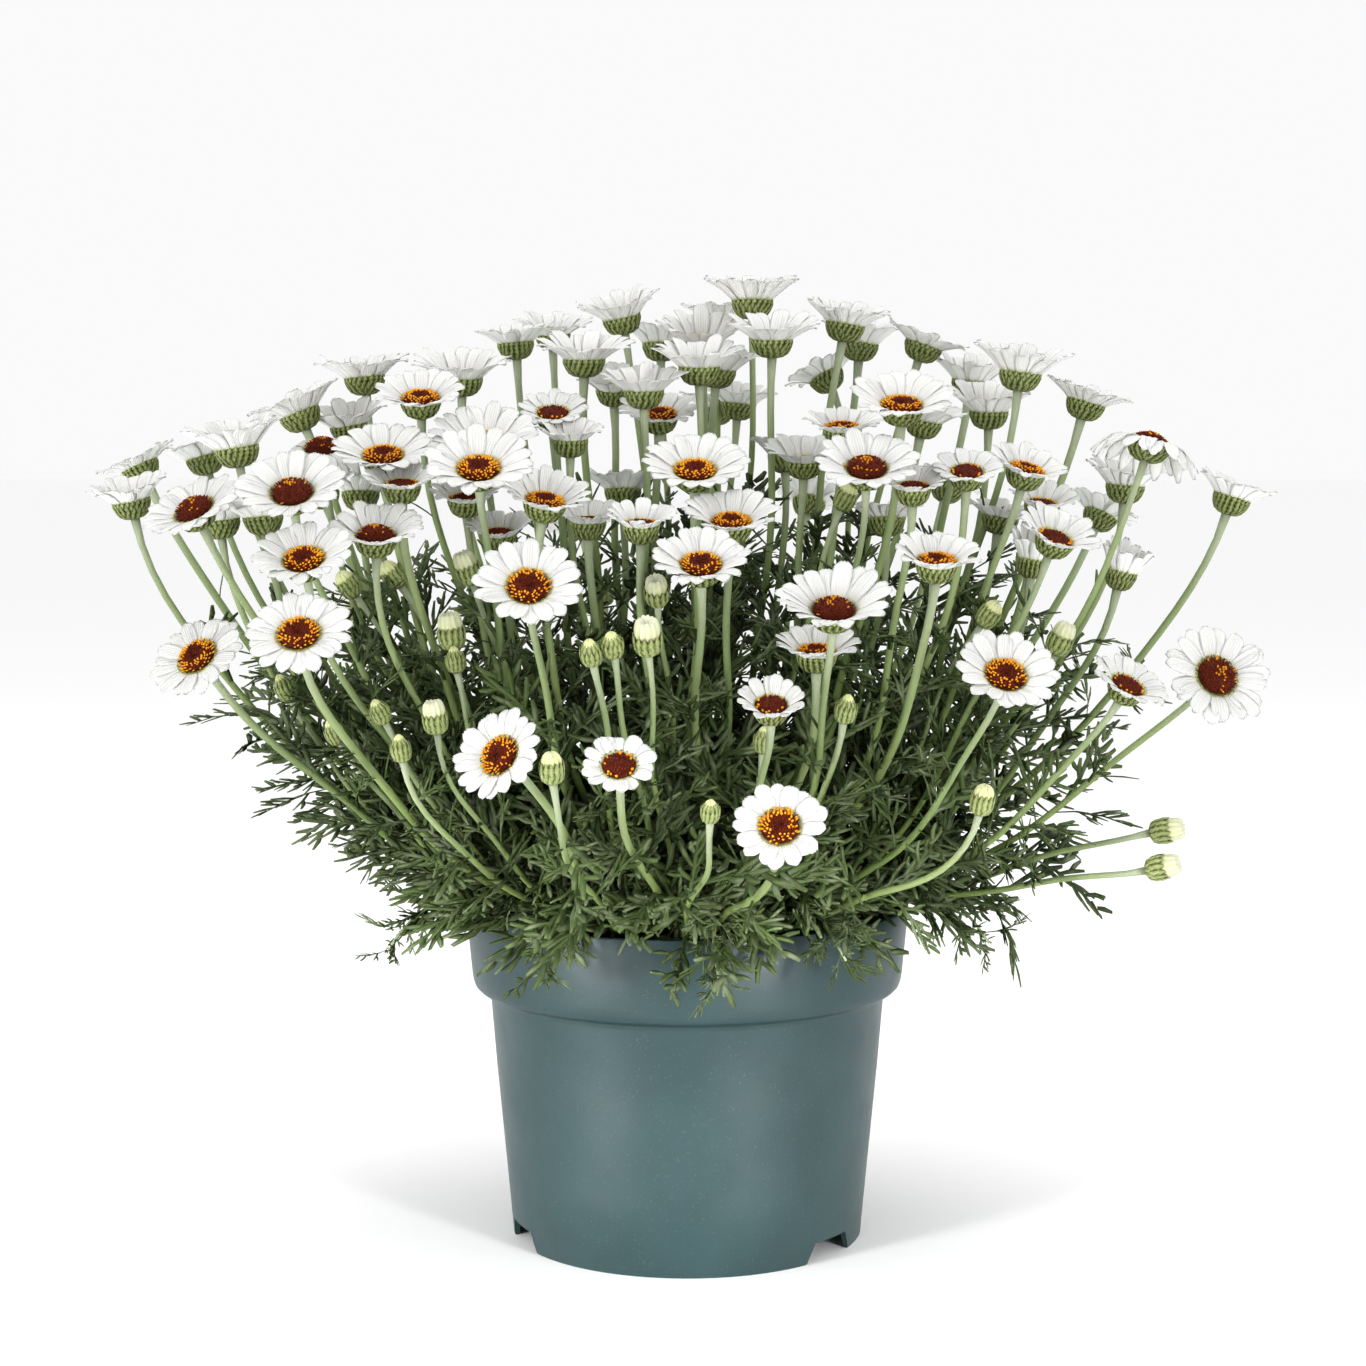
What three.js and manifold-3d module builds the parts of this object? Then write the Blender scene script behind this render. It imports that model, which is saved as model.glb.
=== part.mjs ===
// A moroccan daisy in a plastic nursery pot, in millimetres, +Z up.
// The origin is on the ground under the middle of the pot, and -Y is the front.

import * as THREE from "three";
import { mergeVertices } from "three/addons/utils/BufferGeometryUtils.js";
import Module from "manifold-3d";

const wasm = await Module();
wasm.setup();

// Pot
const POT_HEIGHT = 143;
const RIM_TOP_RADIUS = 95;
const RIM_FOOT_RADIUS = 92;
const RIM_FOOT_HEIGHT = 107;
const RIM_CORNER = 4;
const BODY_TOP_RADIUS = 84.5;
const BASE_RADIUS = 75;
const POT_WALL = 2.2;
const FLOOR_HEIGHT = 9;
const POT_SIDES = 32;
const NOTCH_HEADINGS = [323, 201, 83];
const NOTCH_FOOT_WIDTH = 32;
const NOTCH_HEAD_WIDTH = 22;
const NOTCH_HEIGHT = 8.6;
const DRAIN_RADIUS = 5;
const DRAIN_CIRCLE = 58;

// Soil: it rises a little from its edge to the middle, with small bumps
const SOIL_EDGE_HEIGHT = 129;
const SOIL_CROWN = 4;
const SOIL_SIDES = 20;
const SOIL_CLEARANCE = 0.7;
const SOIL_BUMP = 1.6;
const SEAT_GAP = 0.35;

// Branches: each stands in the soil on a foot, in an outer or an inner circle
const OUTER_BRANCHES = 14;
const INNER_BRANCHES = 7;
const OUTER_CIRCLE = 56;
const INNER_CIRCLE = 26;
const INNER_REACH = 118;
const FOOT_RADIUS = 10.5;
const FOOT_SIDES = 6;
const FOOT_DEPTH = 20;
const FOOT_TOP = 141;
const FINEST = 0.02;

// Stalks: three-sided, in rows on a foot
const STALK_RADIUS = 2.1;
const NECK_RADIUS = 2.6;
const TWIG_END_RADIUS = 1.4;
const STALK_STEPS = { outer: 4, inner: 3 };
const STALK_PITCH = 4.6;
const SEAT_DEPTH = 4;

// Flowers: a cup, a disc, and a ring of petals with a notch between neighbours
const CUP_DEPTH = 8;
const CUP_RADIUS = 3.2;
const CUP_RADIUS_PER_SPAN = 0.115;
const CUP_EDGE_HEIGHT = -0.6;
const DISC_EDGE_HEIGHT = 1.1;
const DISC_EDGE_SHARE = 0.92;
const DISC_RISE = { ring: 1.8, dome: 4.6, young: 1.4, faded: 5, opening: 1 };
const PETALS = 9;
const SMALL_PETALS = 6;
const SMALL_SPAN = 35;
const PETAL_NOTCH_REACH = 0.7;
const PETAL_NOTCH_LIFT = 0.62;
const PETAL_SHOULDER = 0.22;

// Buds
const BUD_LEAST_RADIUS = 0.6;
const BUD_RADIUS_PER_LENGTH = 0.4;
const BUD_SIDES = 6;
const LOW_BUD_HEIGHT = 190;
const LOW_BUD_LEAN = 50;

// Leaves: lobes in pairs along a rib
const LEAF_LENGTH = 46;
const LEAF_LENGTH_SPREAD = 16;
const LEAF_ARCH = 0.22;
const LEAF_ROOT = 0.55;
const LEAF_CLEARANCE = 0.4;
const LEAF_TRIES = 8;
const LEAF_TURN = 137.5;
const LOBE_PAIRS = 2;
const LOBE_START = 0.26;
const LOBE_RUN = 0.55;
const LOBE_REACH = 0.34;
const LOBE_TAPER = 0.22;
const LOBE_SWEEP = 1.75;
const LOBE_STAGGER = 0.25;
const RIB_HALF_WIDTH = 1.3;
const RIB_HALF_DEPTH = 0.8;
const SHOOT_LEAF_SHARES = [0.62, 0.9];

// Each flower: x, y, z of its middle, lean from upright, heading of the lean, span, disc
const FLOWERS = [
  [-141, 40, 367, 6, 180, 41, "ring"],
  [-97, 20, 366, 6, -90, 42, "ring"],
  [-109, -40, 356, 22, -90, 37, "ring"],
  [-164, 0, 351, 22, 180, 40, "ring"],
  [-145, 14, 346, 10, -150, 34, "ring"],
  [-181, -60, 336, 9, 180, 40, "ring"],
  [-215, 60, 332, 15, 160, 36, "ring"],
  [-238, 30, 329, 24, 180, 36, "ring"],
  [-234, -10, 314, 12, 200, 34, "ring"],
  [-193, -90, 312, 34, -125, 40, "dome"],
  [-190, -50, 307, 5, 180, 34, "ring"],
  [-152, -110, 319, 36, -92, 41, "dome"],
  [-152, -20, 336, 20, -90, 36, "faded"],
  [-121, -72, 333, 24, -90, 40, "ring"],
  [-112, -90, 322, 14, -90, 30, "young"],
  [-171, -60, 309, 6, 180, 34, "ring"],
  [-145, -130, 294, 33, -97, 38, "ring"],
  [-120, -110, 302, 20, -85, 36, "dome"],
  [-141, 20, 317, 10, 90, 34, "ring"],
  [-189, -110, 256, 48, -120, 39, "ring"],
  [-143, -160, 268, 42, -92, 39, "ring"],
  [-81, -100, 328, 34, -88, 42, "ring"],
  [-82, -54, 338, 30, -90, 42, "ring"],
  [-89, -60, 316, 15, -90, 30, "young"],
  [-78, 90, 384, 5, 180, 36, "ring"],
  [-63, 130, 390, 10, -90, 36, "young"],
  [-29, 60, 394, 14, -150, 38, "ring"],
  [-44, 10, 374, 5, -90, 42, "ring"],
  [-12, 110, 384, 6, 90, 38, "ring"],
  [5, -10, 370, 4, -90, 39, "ring"],
  [13, 40, 370, 5, 0, 36, "ring"],
  [7, 60, 383, 12, -90, 40, "ring"],
  [29, 60, 401, 4, 90, 43, "ring"],
  [36, 5, 382, 4, -90, 41, "ring"],
  [16, 130, 396, 6, 90, 36, "ring"],
  [69, 40, 390, 10, 0, 38, "ring"],
  [80, 110, 384, 6, 30, 38, "ring"],
  [105, 60, 382, 20, 0, 38, "ring"],
  [65, 120, 370, 30, 150, 36, "ring"],
  [86, -60, 353, 24, -88, 41, "ring"],
  [-18, -20, 360, 4, -90, 36, "ring"],
  [-32, 40, 362, 12, -90, 33, "young"],
  [-56, -20, 351, 26, -90, 29, "young"],
  [-12, 5, 350, 20, -90, 34, "ring"],
  [-48, -40, 340, 8, -90, 28, "young"],
  [14, 150, 355, 6, 90, 36, "ring"],
  [24, 120, 357, 6, 0, 36, "ring"],
  [3, -70, 327, 27, -90, 42, "ring"],
  [70, -90, 328, 30, -90, 41, "dome"],
  [-56, -90, 315, 22, -65, 37, "ring"],
  [-40, -60, 307, 10, -90, 27, "young"],
  [-18, -110, 307, 12, -90, 27, "young"],
  [17, -95, 307, 20, -90, 37, "ring"],
  [5, -130, 292, 30, -90, 37, "ring"],
  [-59, -150, 285, 48, -88, 40, "ring"],
  [54, -150, 276, 26, -90, 42, "dome"],
  [50, -105, 257, 12, -90, 33, "ring"],
  [-76, -60, 302, 15, -90, 26, "young"],
  [49, -10, 331, 10, -90, 33, "young"],
  [43, 40, 333, 8, 90, 30, "ring"],
  [89, -80, 321, 16, -90, 27, "young"],
  [64, -30, 344, 12, -90, 32, "ring"],
  [101, 10, 348, 14, -20, 33, "ring"],
  [127, 70, 366, 6, 0, 36, "ring"],
  [142, 10, 368, 8, 0, 42, "ring"],
  [131, 30, 352, 5, -90, 37, "ring"],
  [173, 30, 356, 16, 0, 38, "ring"],
  [189, -40, 338, 18, 20, 42, "faded"],
  [189, 20, 320, 5, 0, 36, "ring"],
  [235, 20, 315, 18, 0, 35, "ring"],
  [111, -74, 327, 24, -90, 28, "young"],
  [136, -60, 327, 20, -50, 33, "ring"],
  [148, -20, 313, 16, -70, 29, "young"],
  [144, -90, 301, 30, -55, 33, "young"],
  [143, -30, 290, 8, 0, 22, "opening"],
  [183, -10, 284, 14, 0, 22, "opening"],
  [94, -130, 293, 18, -85, 33, "ring"],
  [118, -150, 252, 42, -80, 38, "ring"],
  [170, -110, 245, 34, -50, 31, "young"],
  [208, -90, 247, 62, -75, 42, "dome"],
  [134, 10, 307, 10, 0, 33, "ring"],
  [83, -20, 307, 8, 90, 30, "ring"],
  [-28, 30, 318, 8, 90, 33, "ring"],
  [-68, -175, 225, 60, -125, 36, "ring"],
  [-25, -180, 222, 42, -90, 27, "young"],
  [33, -190, 201, 52, -95, 34, "ring"],
  [31, -150, 241, 30, -90, 25, "young"],
  [-170, 115, 316, 24, 145, 34, "ring"],
  [-112, 150, 335, 22, 125, 34, "ring"],
  [-52, 182, 300, 34, 105, 34, "dome"],
  [60, 180, 310, 32, 70, 34, "ring"],
  [125, 150, 318, 26, 50, 34, "ring"],
  [190, 95, 306, 28, 25, 34, "dome"],
  [2, 186, 246, 52, 90, 34, "ring"],
];

// Each bud: x, y, z of its middle, length
const BUDS = [
  [-93, -90, 265, 15],
  [-91, -95, 254, 10],
  [-96, -130, 235, 13],
  [-118, -120, 236, 10],
  [-108, -140, 224, 10],
  [-49, -185, 222, 12],
  [8, -190, 207, 9],
  [-12, -110, 282, 13],
  [-15, -150, 267, 15],
  [-28, -150, 264, 11],
  [-36, -150, 261, 11],
  [-88, -70, 289, 14],
  [122, -60, 270, 12],
  [151, -60, 260, 14],
  [110, -150, 206, 12],
  [195, -60, 182, 14],
  [190, -80, 170, 14],
  [60, -130, 238, 11],
  [29, -120, 225, 10],
  [-137, -60, 282, 12],
  [-119, -60, 286, 12],
  [-163, -60, 240, 11],
  [-138, -100, 226, 10],
  [65, -40, 317, 12],
  [-40, 150, 268, 13],
  [88, 138, 262, 12],
  [-150, 70, 262, 12],
];

// Each leafy shoot that hangs over the rim: x, y, z of its tip
const SHOOTS = [
  [-124, -45, 130],
  [-56, -113, 134],
  [12, -118, 130],
  [62, -106, 137],
  [126, -35, 131],
  [92, 86, 134],
  [0, 124, 132],
  [-92, 84, 134],
];

const UP = new THREE.Vector3(0, 0, 1);
const TURN = 2 * Math.PI;
const { degToRad, radToDeg, lerp } = THREE.MathUtils;

// A repeatable draw between 0 and 1 for a numbered thing
function draw(number, salt) {
  const wave = Math.sin(number * 12.9898 + salt * 78.233) * 43758.5453;
  return wave - Math.floor(wave);
}

// Solids and their colours

const COLOURS = {
  pot: 0x566b6d,
  soil: 0x2f241d,
  stalk: 0x7f9470,
  leaf: 0x4c6148,
  ray: 0xf2f1ec,
  disc: 0x7a3a12,
};
const firstPaint = wasm.Manifold.reserveIDs(Object.keys(COLOURS).length);
const PAINTS = Object.fromEntries(Object.keys(COLOURS).map((name, i) => [name, firstPaint + i]));

// A closed mesh whose faces are given by colour as { colour: [[a, b, c], ...] }
function solidOf(points, facesByColour) {
  const runIndex = [0];
  const runOriginalID = [];
  const triVerts = [];
  for (const [colour, faces] of Object.entries(facesByColour)) {
    triVerts.push(...faces.flat());
    runIndex.push(triVerts.length);
    runOriginalID.push(PAINTS[colour]);
  }
  return new wasm.Manifold(
    new wasm.Mesh({
      numProp: 3,
      vertProperties: new Float32Array(points.flatMap((p) => p.toArray())),
      triVerts: new Uint32Array(triVerts),
      runIndex: new Uint32Array(runIndex),
      runOriginalID: new Uint32Array(runOriginalID),
    }),
  );
}

function solidFromGeometry(geometry, colour) {
  const bare = geometry.clone();
  bare.deleteAttribute("normal");
  bare.deleteAttribute("uv");
  const merged = mergeVertices(bare, 1e-3);
  const points = [];
  for (let i = 0; i < merged.attributes.position.count; i += 1) {
    points.push(new THREE.Vector3().fromBufferAttribute(merged.attributes.position, i));
  }
  const faces = [];
  for (let i = 0; i < merged.index.count; i += 3) {
    const corners = [0, 1, 2].map((k) => merged.index.getX(i + k));
    if (new Set(corners).size === 3) faces.push(corners);
  }
  return solidOf(points, { [colour]: faces });
}

// A solid round an upright axis. Its profile of [radius, height] pairs runs from the middle of
// the underside, out and up, to the middle of the top.
function turnedSolid(centre, profile, sides, colour, bumpOf = () => 0) {
  const rings = profile.slice(1, -1).map(([radius, height], level) =>
    Array.from({ length: sides }, (_, k) => {
      const angle = (k / sides) * TURN;
      const x = centre.x + radius * Math.cos(angle);
      const y = centre.y + radius * Math.sin(angle);
      return new THREE.Vector3(x, y, height + bumpOf(k, level));
    }),
  );
  const bottom = new THREE.Vector3(centre.x, centre.y, profile[0][1]);
  const top = new THREE.Vector3(centre.x, centre.y, profile.at(-1)[1]);
  const points = [bottom, ...rings.flat(), top];
  const last = points.length - 1;
  const faces = [];
  for (let k = 0; k < sides; k += 1) {
    const next = (k + 1) % sides;
    faces.push([0, 1 + next, 1 + k]);
    for (let low = 1; low + sides < last; low += sides) {
      const high = low + sides;
      faces.push([low + k, low + next, high + next], [low + k, high + next, high + k]);
    }
    faces.push([last - sides + k, last - sides + next, last]);
  }
  return solidOf(points, { [colour]: faces });
}

// One named mesh of a solid, each face in the colour of what it came from
function meshOf(name, solid, roughness) {
  const made = solid.getMesh();
  const positions = [];
  const colours = [];
  for (let run = 0; run < made.runOriginalID.length; run += 1) {
    const key = Object.keys(COLOURS)[made.runOriginalID[run] - firstPaint];
    const colour = new THREE.Color(COLOURS[key]);
    for (let i = made.runIndex[run]; i < made.runIndex[run + 1]; i += 1) {
      const at = made.triVerts[i] * made.numProp;
      positions.push(...made.vertProperties.slice(at, at + 3));
      colours.push(colour.r, colour.g, colour.b);
    }
  }
  const geometry = new THREE.BufferGeometry();
  geometry.setAttribute("position", new THREE.Float32BufferAttribute(positions, 3));
  geometry.setAttribute("color", new THREE.Float32BufferAttribute(colours, 3));
  geometry.computeVertexNormals();
  const material = new THREE.MeshStandardMaterial({ vertexColors: true, roughness, metalness: 0 });
  const mesh = new THREE.Mesh(geometry, material);
  mesh.name = name;
  return mesh;
}

// Pot

function potSolid() {
  const skirtInside = BASE_RADIUS - POT_WALL;
  const profile = [
    [0, FLOOR_HEIGHT],
    [skirtInside, FLOOR_HEIGHT],
    [skirtInside, 0],
    [BASE_RADIUS, 0],
    [BODY_TOP_RADIUS, RIM_FOOT_HEIGHT - 2],
    [RIM_FOOT_RADIUS - RIM_CORNER, RIM_FOOT_HEIGHT],
    [RIM_FOOT_RADIUS - RIM_CORNER / 4, RIM_FOOT_HEIGHT + RIM_CORNER / 2],
    [RIM_FOOT_RADIUS, RIM_FOOT_HEIGHT + RIM_CORNER + 1],
    [RIM_TOP_RADIUS, POT_HEIGHT],
    [RIM_TOP_RADIUS - POT_WALL, POT_HEIGHT],
    [RIM_FOOT_RADIUS - POT_WALL, RIM_FOOT_HEIGHT + RIM_CORNER + 3],
    [BODY_TOP_RADIUS - POT_WALL, RIM_FOOT_HEIGHT + RIM_CORNER / 2],
    [skirtInside + 1, FLOOR_HEIGHT + POT_WALL],
    [0, FLOOR_HEIGHT + POT_WALL],
  ];
  return NOTCH_HEADINGS.reduce(
    (pot, heading) => pot.subtract(notchSolid(heading)).subtract(drainSolid(heading)),
    turnedSolid(new THREE.Vector3(), profile, POT_SIDES, "pot"),
  );
}

// A slot through the foot skirt, wider at the ground than at its head
function notchSolid(heading) {
  const outline = new THREE.Shape([
    new THREE.Vector2(-NOTCH_FOOT_WIDTH / 2, -1),
    new THREE.Vector2(NOTCH_FOOT_WIDTH / 2, -1),
    new THREE.Vector2(NOTCH_HEAD_WIDTH / 2, NOTCH_HEIGHT),
    new THREE.Vector2(-NOTCH_HEAD_WIDTH / 2, NOTCH_HEIGHT),
  ]);
  const geometry = new THREE.ExtrudeGeometry(outline, { depth: 30, bevelEnabled: false })
    .rotateX(Math.PI / 2)
    .rotateZ(Math.PI / 2)
    .translate(BASE_RADIUS - 20, 0, 0)
    .rotateZ(degToRad(heading));
  return solidFromGeometry(geometry, "pot");
}

function drainSolid(heading) {
  const geometry = new THREE.CylinderGeometry(DRAIN_RADIUS, DRAIN_RADIUS, 12, 8)
    .rotateX(Math.PI / 2)
    .translate(DRAIN_CIRCLE, 0, FLOOR_HEIGHT)
    .rotateZ(degToRad(heading));
  return solidFromGeometry(geometry, "pot");
}

// Soil

function soilSolid(feet) {
  const inset = POT_WALL + SOIL_CLEARANCE;
  const low = FLOOR_HEIGHT + POT_WALL + SEAT_GAP;
  const profile = [
    [0, low],
    [BASE_RADIUS - inset + 1, low],
    [BODY_TOP_RADIUS - inset, RIM_FOOT_HEIGHT + 2],
    [RIM_FOOT_RADIUS - inset, RIM_FOOT_HEIGHT + 7.5],
    [RIM_FOOT_RADIUS - inset + 1.2, SOIL_EDGE_HEIGHT],
    [70, SOIL_EDGE_HEIGHT + SOIL_CROWN / 2],
    [41, SOIL_EDGE_HEIGHT + (SOIL_CROWN * 3) / 4],
    [0, SOIL_EDGE_HEIGHT + SOIL_CROWN],
  ];
  const firstBumpy = 4;
  const bumpOf = (k, level) => (level < firstBumpy ? 0 : SOIL_BUMP * (draw(k, level) - 0.5));
  return feet.reduce(
    (soil, foot) => soil.subtract(footSolid(foot, SEAT_GAP)),
    turnedSolid(new THREE.Vector3(), profile, SOIL_SIDES, "soil", bumpOf),
  );
}

// Stalks

// The foot of a branch, or with a gap round it the hole in the soil that it stands in
function footSolid(foot, gap) {
  const radius = FOOT_RADIUS + gap / Math.cos(Math.PI / FOOT_SIDES);
  const low = foot.z - FOOT_DEPTH - gap;
  const high = FOOT_TOP + gap;
  const profile = [
    [0, low],
    [radius, low],
    [radius, high],
    [0, high],
  ];
  return turnedSolid(foot, profile, FOOT_SIDES, "stalk");
}

function leaning(lean, heading) {
  const across = Math.sin(degToRad(lean));
  return new THREE.Vector3(
    across * Math.cos(degToRad(heading)),
    across * Math.sin(degToRad(heading)),
    Math.cos(degToRad(lean)),
  );
}

// The way of a stalk: out from its seat on the foot, then up, then into its head along the
// head's axis
function stalkWay(seat, end, axis) {
  const reach = new THREE.Vector3(end.x - seat.x, end.y - seat.y, 0);
  const rise = end.z - seat.z;
  const firstRise = Math.max(0.22 * rise, 20);
  const neck = Math.min(22 + 45 * axis.z, 0.45 * rise);
  const first = seat.clone().addScaledVector(reach, 0.45).addScaledVector(UP, firstRise);
  const second = end.clone().addScaledVector(axis, -neck);
  return new THREE.CubicBezierCurve3(seat, first, second, end);
}

// Points of a three-sided stalk along its way, and the two directions across its end
function stalkRings(way, startRadius, endRadius, steps) {
  const rings = [];
  const spine = [];
  let across = new THREE.Vector3(1, 0, 0);
  let other = new THREE.Vector3();
  for (let i = 0; i <= steps; i += 1) {
    const share = i / steps;
    const tangent = way.getTangentAt(share);
    across = across.clone().addScaledVector(tangent, -across.dot(tangent)).normalize();
    other = tangent.clone().cross(across);
    spine.push(way.getPointAt(share));
    rings.push(circle(spine[i], across, other, lerp(startRadius, endRadius, share), 3));
  }
  return { rings, spine, across, other };
}

// The point at a share of the way along a spine
function pointOn(spine, share) {
  const at = share * (spine.length - 1);
  const index = Math.min(Math.floor(at), spine.length - 2);
  return spine[index].clone().lerp(spine[index + 1], at - index);
}

function circle(middle, across, other, radius, count) {
  return Array.from({ length: count }, (_, k) => polar(middle, across, other, radius, (k / count) * TURN));
}

function polar(middle, across, other, radius, angle) {
  return middle
    .clone()
    .addScaledVector(across, radius * Math.cos(angle))
    .addScaledVector(other, radius * Math.sin(angle));
}

function stalkFaces(steps) {
  const faces = [[0, 2, 1]];
  for (let i = 0; i < steps; i += 1) {
    for (let k = 0; k < 3; k += 1) {
      const low = i * 3 + k;
      const next = i * 3 + ((k + 1) % 3);
      faces.push([low, next, next + 3], [low, next + 3, low + 3]);
    }
  }
  return faces;
}

// Faces that join the three corners of a stalk's end to a ring of 3 * share corners
function collarFaces(end, ring, share) {
  const faces = [];
  const count = 3 * share;
  const half = Math.ceil(share / 2);
  for (let k = 0; k < 3; k += 1) {
    const here = end + k;
    const next = end + ((k + 1) % 3);
    for (let j = 0; j < share; j += 1) {
      const a = ring + ((k * share + j) % count);
      const b = ring + ((k * share + j + 1) % count);
      faces.push([j < half ? here : next, b, a]);
      if (j === half - 1) faces.push([here, next, b]);
    }
  }
  return faces;
}

// Flowers

// How far the ray tips stand above the middle of the flower
function rayLift(number, lean, span, disc) {
  const radius = span / 2;
  if (disc === "opening") return 1.1 * radius;
  if (disc === "faded") return -0.3 * radius;
  return radius * (0.42 - 0.006 * lean + 0.16 * (draw(number, 3) - 0.5));
}

function flowerPiece(number, seat, steps, [x, y, z, lean, heading, span, disc]) {
  const middle = new THREE.Vector3(x, y, z);
  const axis = leaning(lean, heading);
  const end = middle.clone().addScaledVector(axis, -CUP_DEPTH);
  const way = stalkWay(seat, end, axis);
  const { rings, spine, across, other } = stalkRings(way, STALK_RADIUS, NECK_RADIUS, steps);
  const petals = span < SMALL_SPAN ? SMALL_PETALS : PETALS;
  const radius = span / 2;
  const cup = CUP_RADIUS + CUP_RADIUS_PER_SPAN * span;
  const lift = rayLift(number, lean, span, disc);
  const spread = TURN / petals;
  const at = (r, angle, height) => {
    return polar(middle.clone().addScaledVector(axis, height), across, other, r, angle);
  };

  const cupRing = [];
  const discRing = [];
  const outline = [];
  for (let i = 0; i < petals; i += 1) {
    const start = i * spread;
    const reach = radius * (0.94 + 0.1 * draw(number * 31 + i, 1));
    const tipLift = lift * (0.85 + 0.3 * draw(number * 31 + i, 2));
    cupRing.push(at(cup, start, CUP_EDGE_HEIGHT));
    discRing.push(at(cup * DISC_EDGE_SHARE, start, DISC_EDGE_HEIGHT));
    outline.push(at(radius * PETAL_NOTCH_REACH, start, lift * PETAL_NOTCH_LIFT));
    outline.push(at(reach, start + spread * PETAL_SHOULDER, tipLift));
    outline.push(at(reach, start + spread * (1 - PETAL_SHOULDER), tipLift));
  }
  const points = [...rings.flat(), ...cupRing, ...discRing, ...outline, at(0, 0, DISC_RISE[disc])];
  const cupAt = 3 * (steps + 1);
  const discAt = cupAt + petals;
  const outlineAt = discAt + petals;
  const top = points.length - 1;

  const stalk = [...stalkFaces(steps), ...collarFaces(3 * steps, cupAt, petals / 3)];
  const ray = [];
  const dome = [];
  for (let i = 0; i < petals; i += 1) {
    const next = (i + 1) % petals;
    const notch = outlineAt + 3 * i;
    const nextNotch = outlineAt + 3 * next;
    for (const [ring, under] of [[cupAt, true], [discAt, false]]) {
      const faces = [
        [ring + i, notch + 1, notch],
        [ring + i, notch + 2, notch + 1],
        [ring + i, ring + next, notch + 2],
        [ring + next, nextNotch, notch + 2],
      ];
      ray.push(...(under ? faces : faces.map(([a, b, c]) => [a, c, b])));
    }
    dome.push([discAt + i, discAt + next, top]);
  }
  return { spine, solid: solidOf(points, { stalk, ray, disc: dome }) };
}

// Buds

function budPiece(number, seat, steps, [x, y, z, length]) {
  const middle = new THREE.Vector3(x, y, z);
  const away = radToDeg(Math.atan2(y, x));
  const axis = leaning(8 + 30 * draw(number, 5) + (z < LOW_BUD_HEIGHT ? LOW_BUD_LEAN : 0), away);
  const start = middle.clone().addScaledVector(axis, -length / 2);
  const way = stalkWay(seat, start, axis);
  const { rings, spine, across, other } = stalkRings(way, STALK_RADIUS, TWIG_END_RADIUS, steps);
  const belly = BUD_LEAST_RADIUS + BUD_RADIUS_PER_LENGTH * length;
  const points = [
    ...rings.flat(),
    ...circle(middle, across, other, belly, BUD_SIDES),
    middle.clone().addScaledVector(axis, length / 2),
  ];
  const bellyAt = 3 * (steps + 1);
  const top = bellyAt + BUD_SIDES;
  const stalk = [...stalkFaces(steps), ...collarFaces(3 * steps, bellyAt, BUD_SIDES / 3)];
  const ray = [];
  for (let k = 0; k < BUD_SIDES; k += 1) {
    ray.push([bellyAt + k, bellyAt + ((k + 1) % BUD_SIDES), top]);
  }
  return { spine, solid: solidOf(points, { stalk, ray }) };
}

// Leaves

// A finely cut leaf: lobes in pairs along a rib, thick at the rib and sharp at the edge
function leafSolid(root, direction, roll, length) {
  const along = direction.clone().normalize();
  const level = along.clone().cross(UP).normalize();
  const side = level.clone().applyAxisAngle(along, roll);
  const face = side.clone().cross(along);
  const place = (distance, aside, height) =>
    root
      .clone()
      .addScaledVector(along, distance)
      .addScaledVector(side, aside)
      .addScaledVector(face, height - (LEAF_ARCH * distance * distance) / length);
  const pitch = (LOBE_RUN * length) / LOBE_PAIRS;
  const points = [];
  const add = (...at) => points.push(place(...at)) - 1;
  const tip = add(length, 0, 0);
  const bottoms = [add(0, 0, -LEAF_ROOT)];
  const tops = [add(0, 0, LEAF_ROOT)];
  const notches = { 1: [add(0, LEAF_ROOT, 0)], "-1": [add(0, -LEAF_ROOT, 0)] };
  const lobes = { 1: [], "-1": [] };
  for (let i = 0; i <= LOBE_PAIRS; i += 1) {
    const distance = LOBE_START * length + i * pitch;
    const reach = LOBE_REACH * length * (1 - LOBE_TAPER * i);
    bottoms.push(add(distance, 0, -RIB_HALF_DEPTH));
    tops.push(add(distance, 0, RIB_HALF_DEPTH));
    for (const hand of [1, -1]) {
      const stagger = hand > 0 ? 0 : LOBE_STAGGER * pitch;
      notches[hand].push(add(distance + stagger, hand * RIB_HALF_WIDTH, 0));
      if (i < LOBE_PAIRS) lobes[hand].push(add(distance + LOBE_SWEEP * pitch, hand * reach, 0));
    }
  }
  const faces = [];
  for (const [ridge, under] of [[tops, false], [bottoms, true]]) {
    for (const hand of [1, -1]) {
      const turned = under !== hand > 0;
      const put = (a, b, c) => faces.push(turned ? [a, c, b] : [a, b, c]);
      put(ridge[0], ridge[1], notches[hand][1]);
      put(ridge[0], notches[hand][1], notches[hand][0]);
      for (let i = 0; i < LOBE_PAIRS; i += 1) {
        put(ridge[i + 1], lobes[hand][i], notches[hand][i + 1]);
        put(ridge[i + 1], notches[hand][i + 2], lobes[hand][i]);
        put(ridge[i + 1], ridge[i + 2], notches[hand][i + 2]);
      }
      put(ridge[LOBE_PAIRS + 1], tip, notches[hand][LOBE_PAIRS + 1]);
    }
  }
  faces.push([tops[0], bottoms[0], notches[1][0]], [tops[0], notches[-1][0], bottoms[0]]);
  return solidOf(points, { leaf: faces });
}

// Shoots

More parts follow.
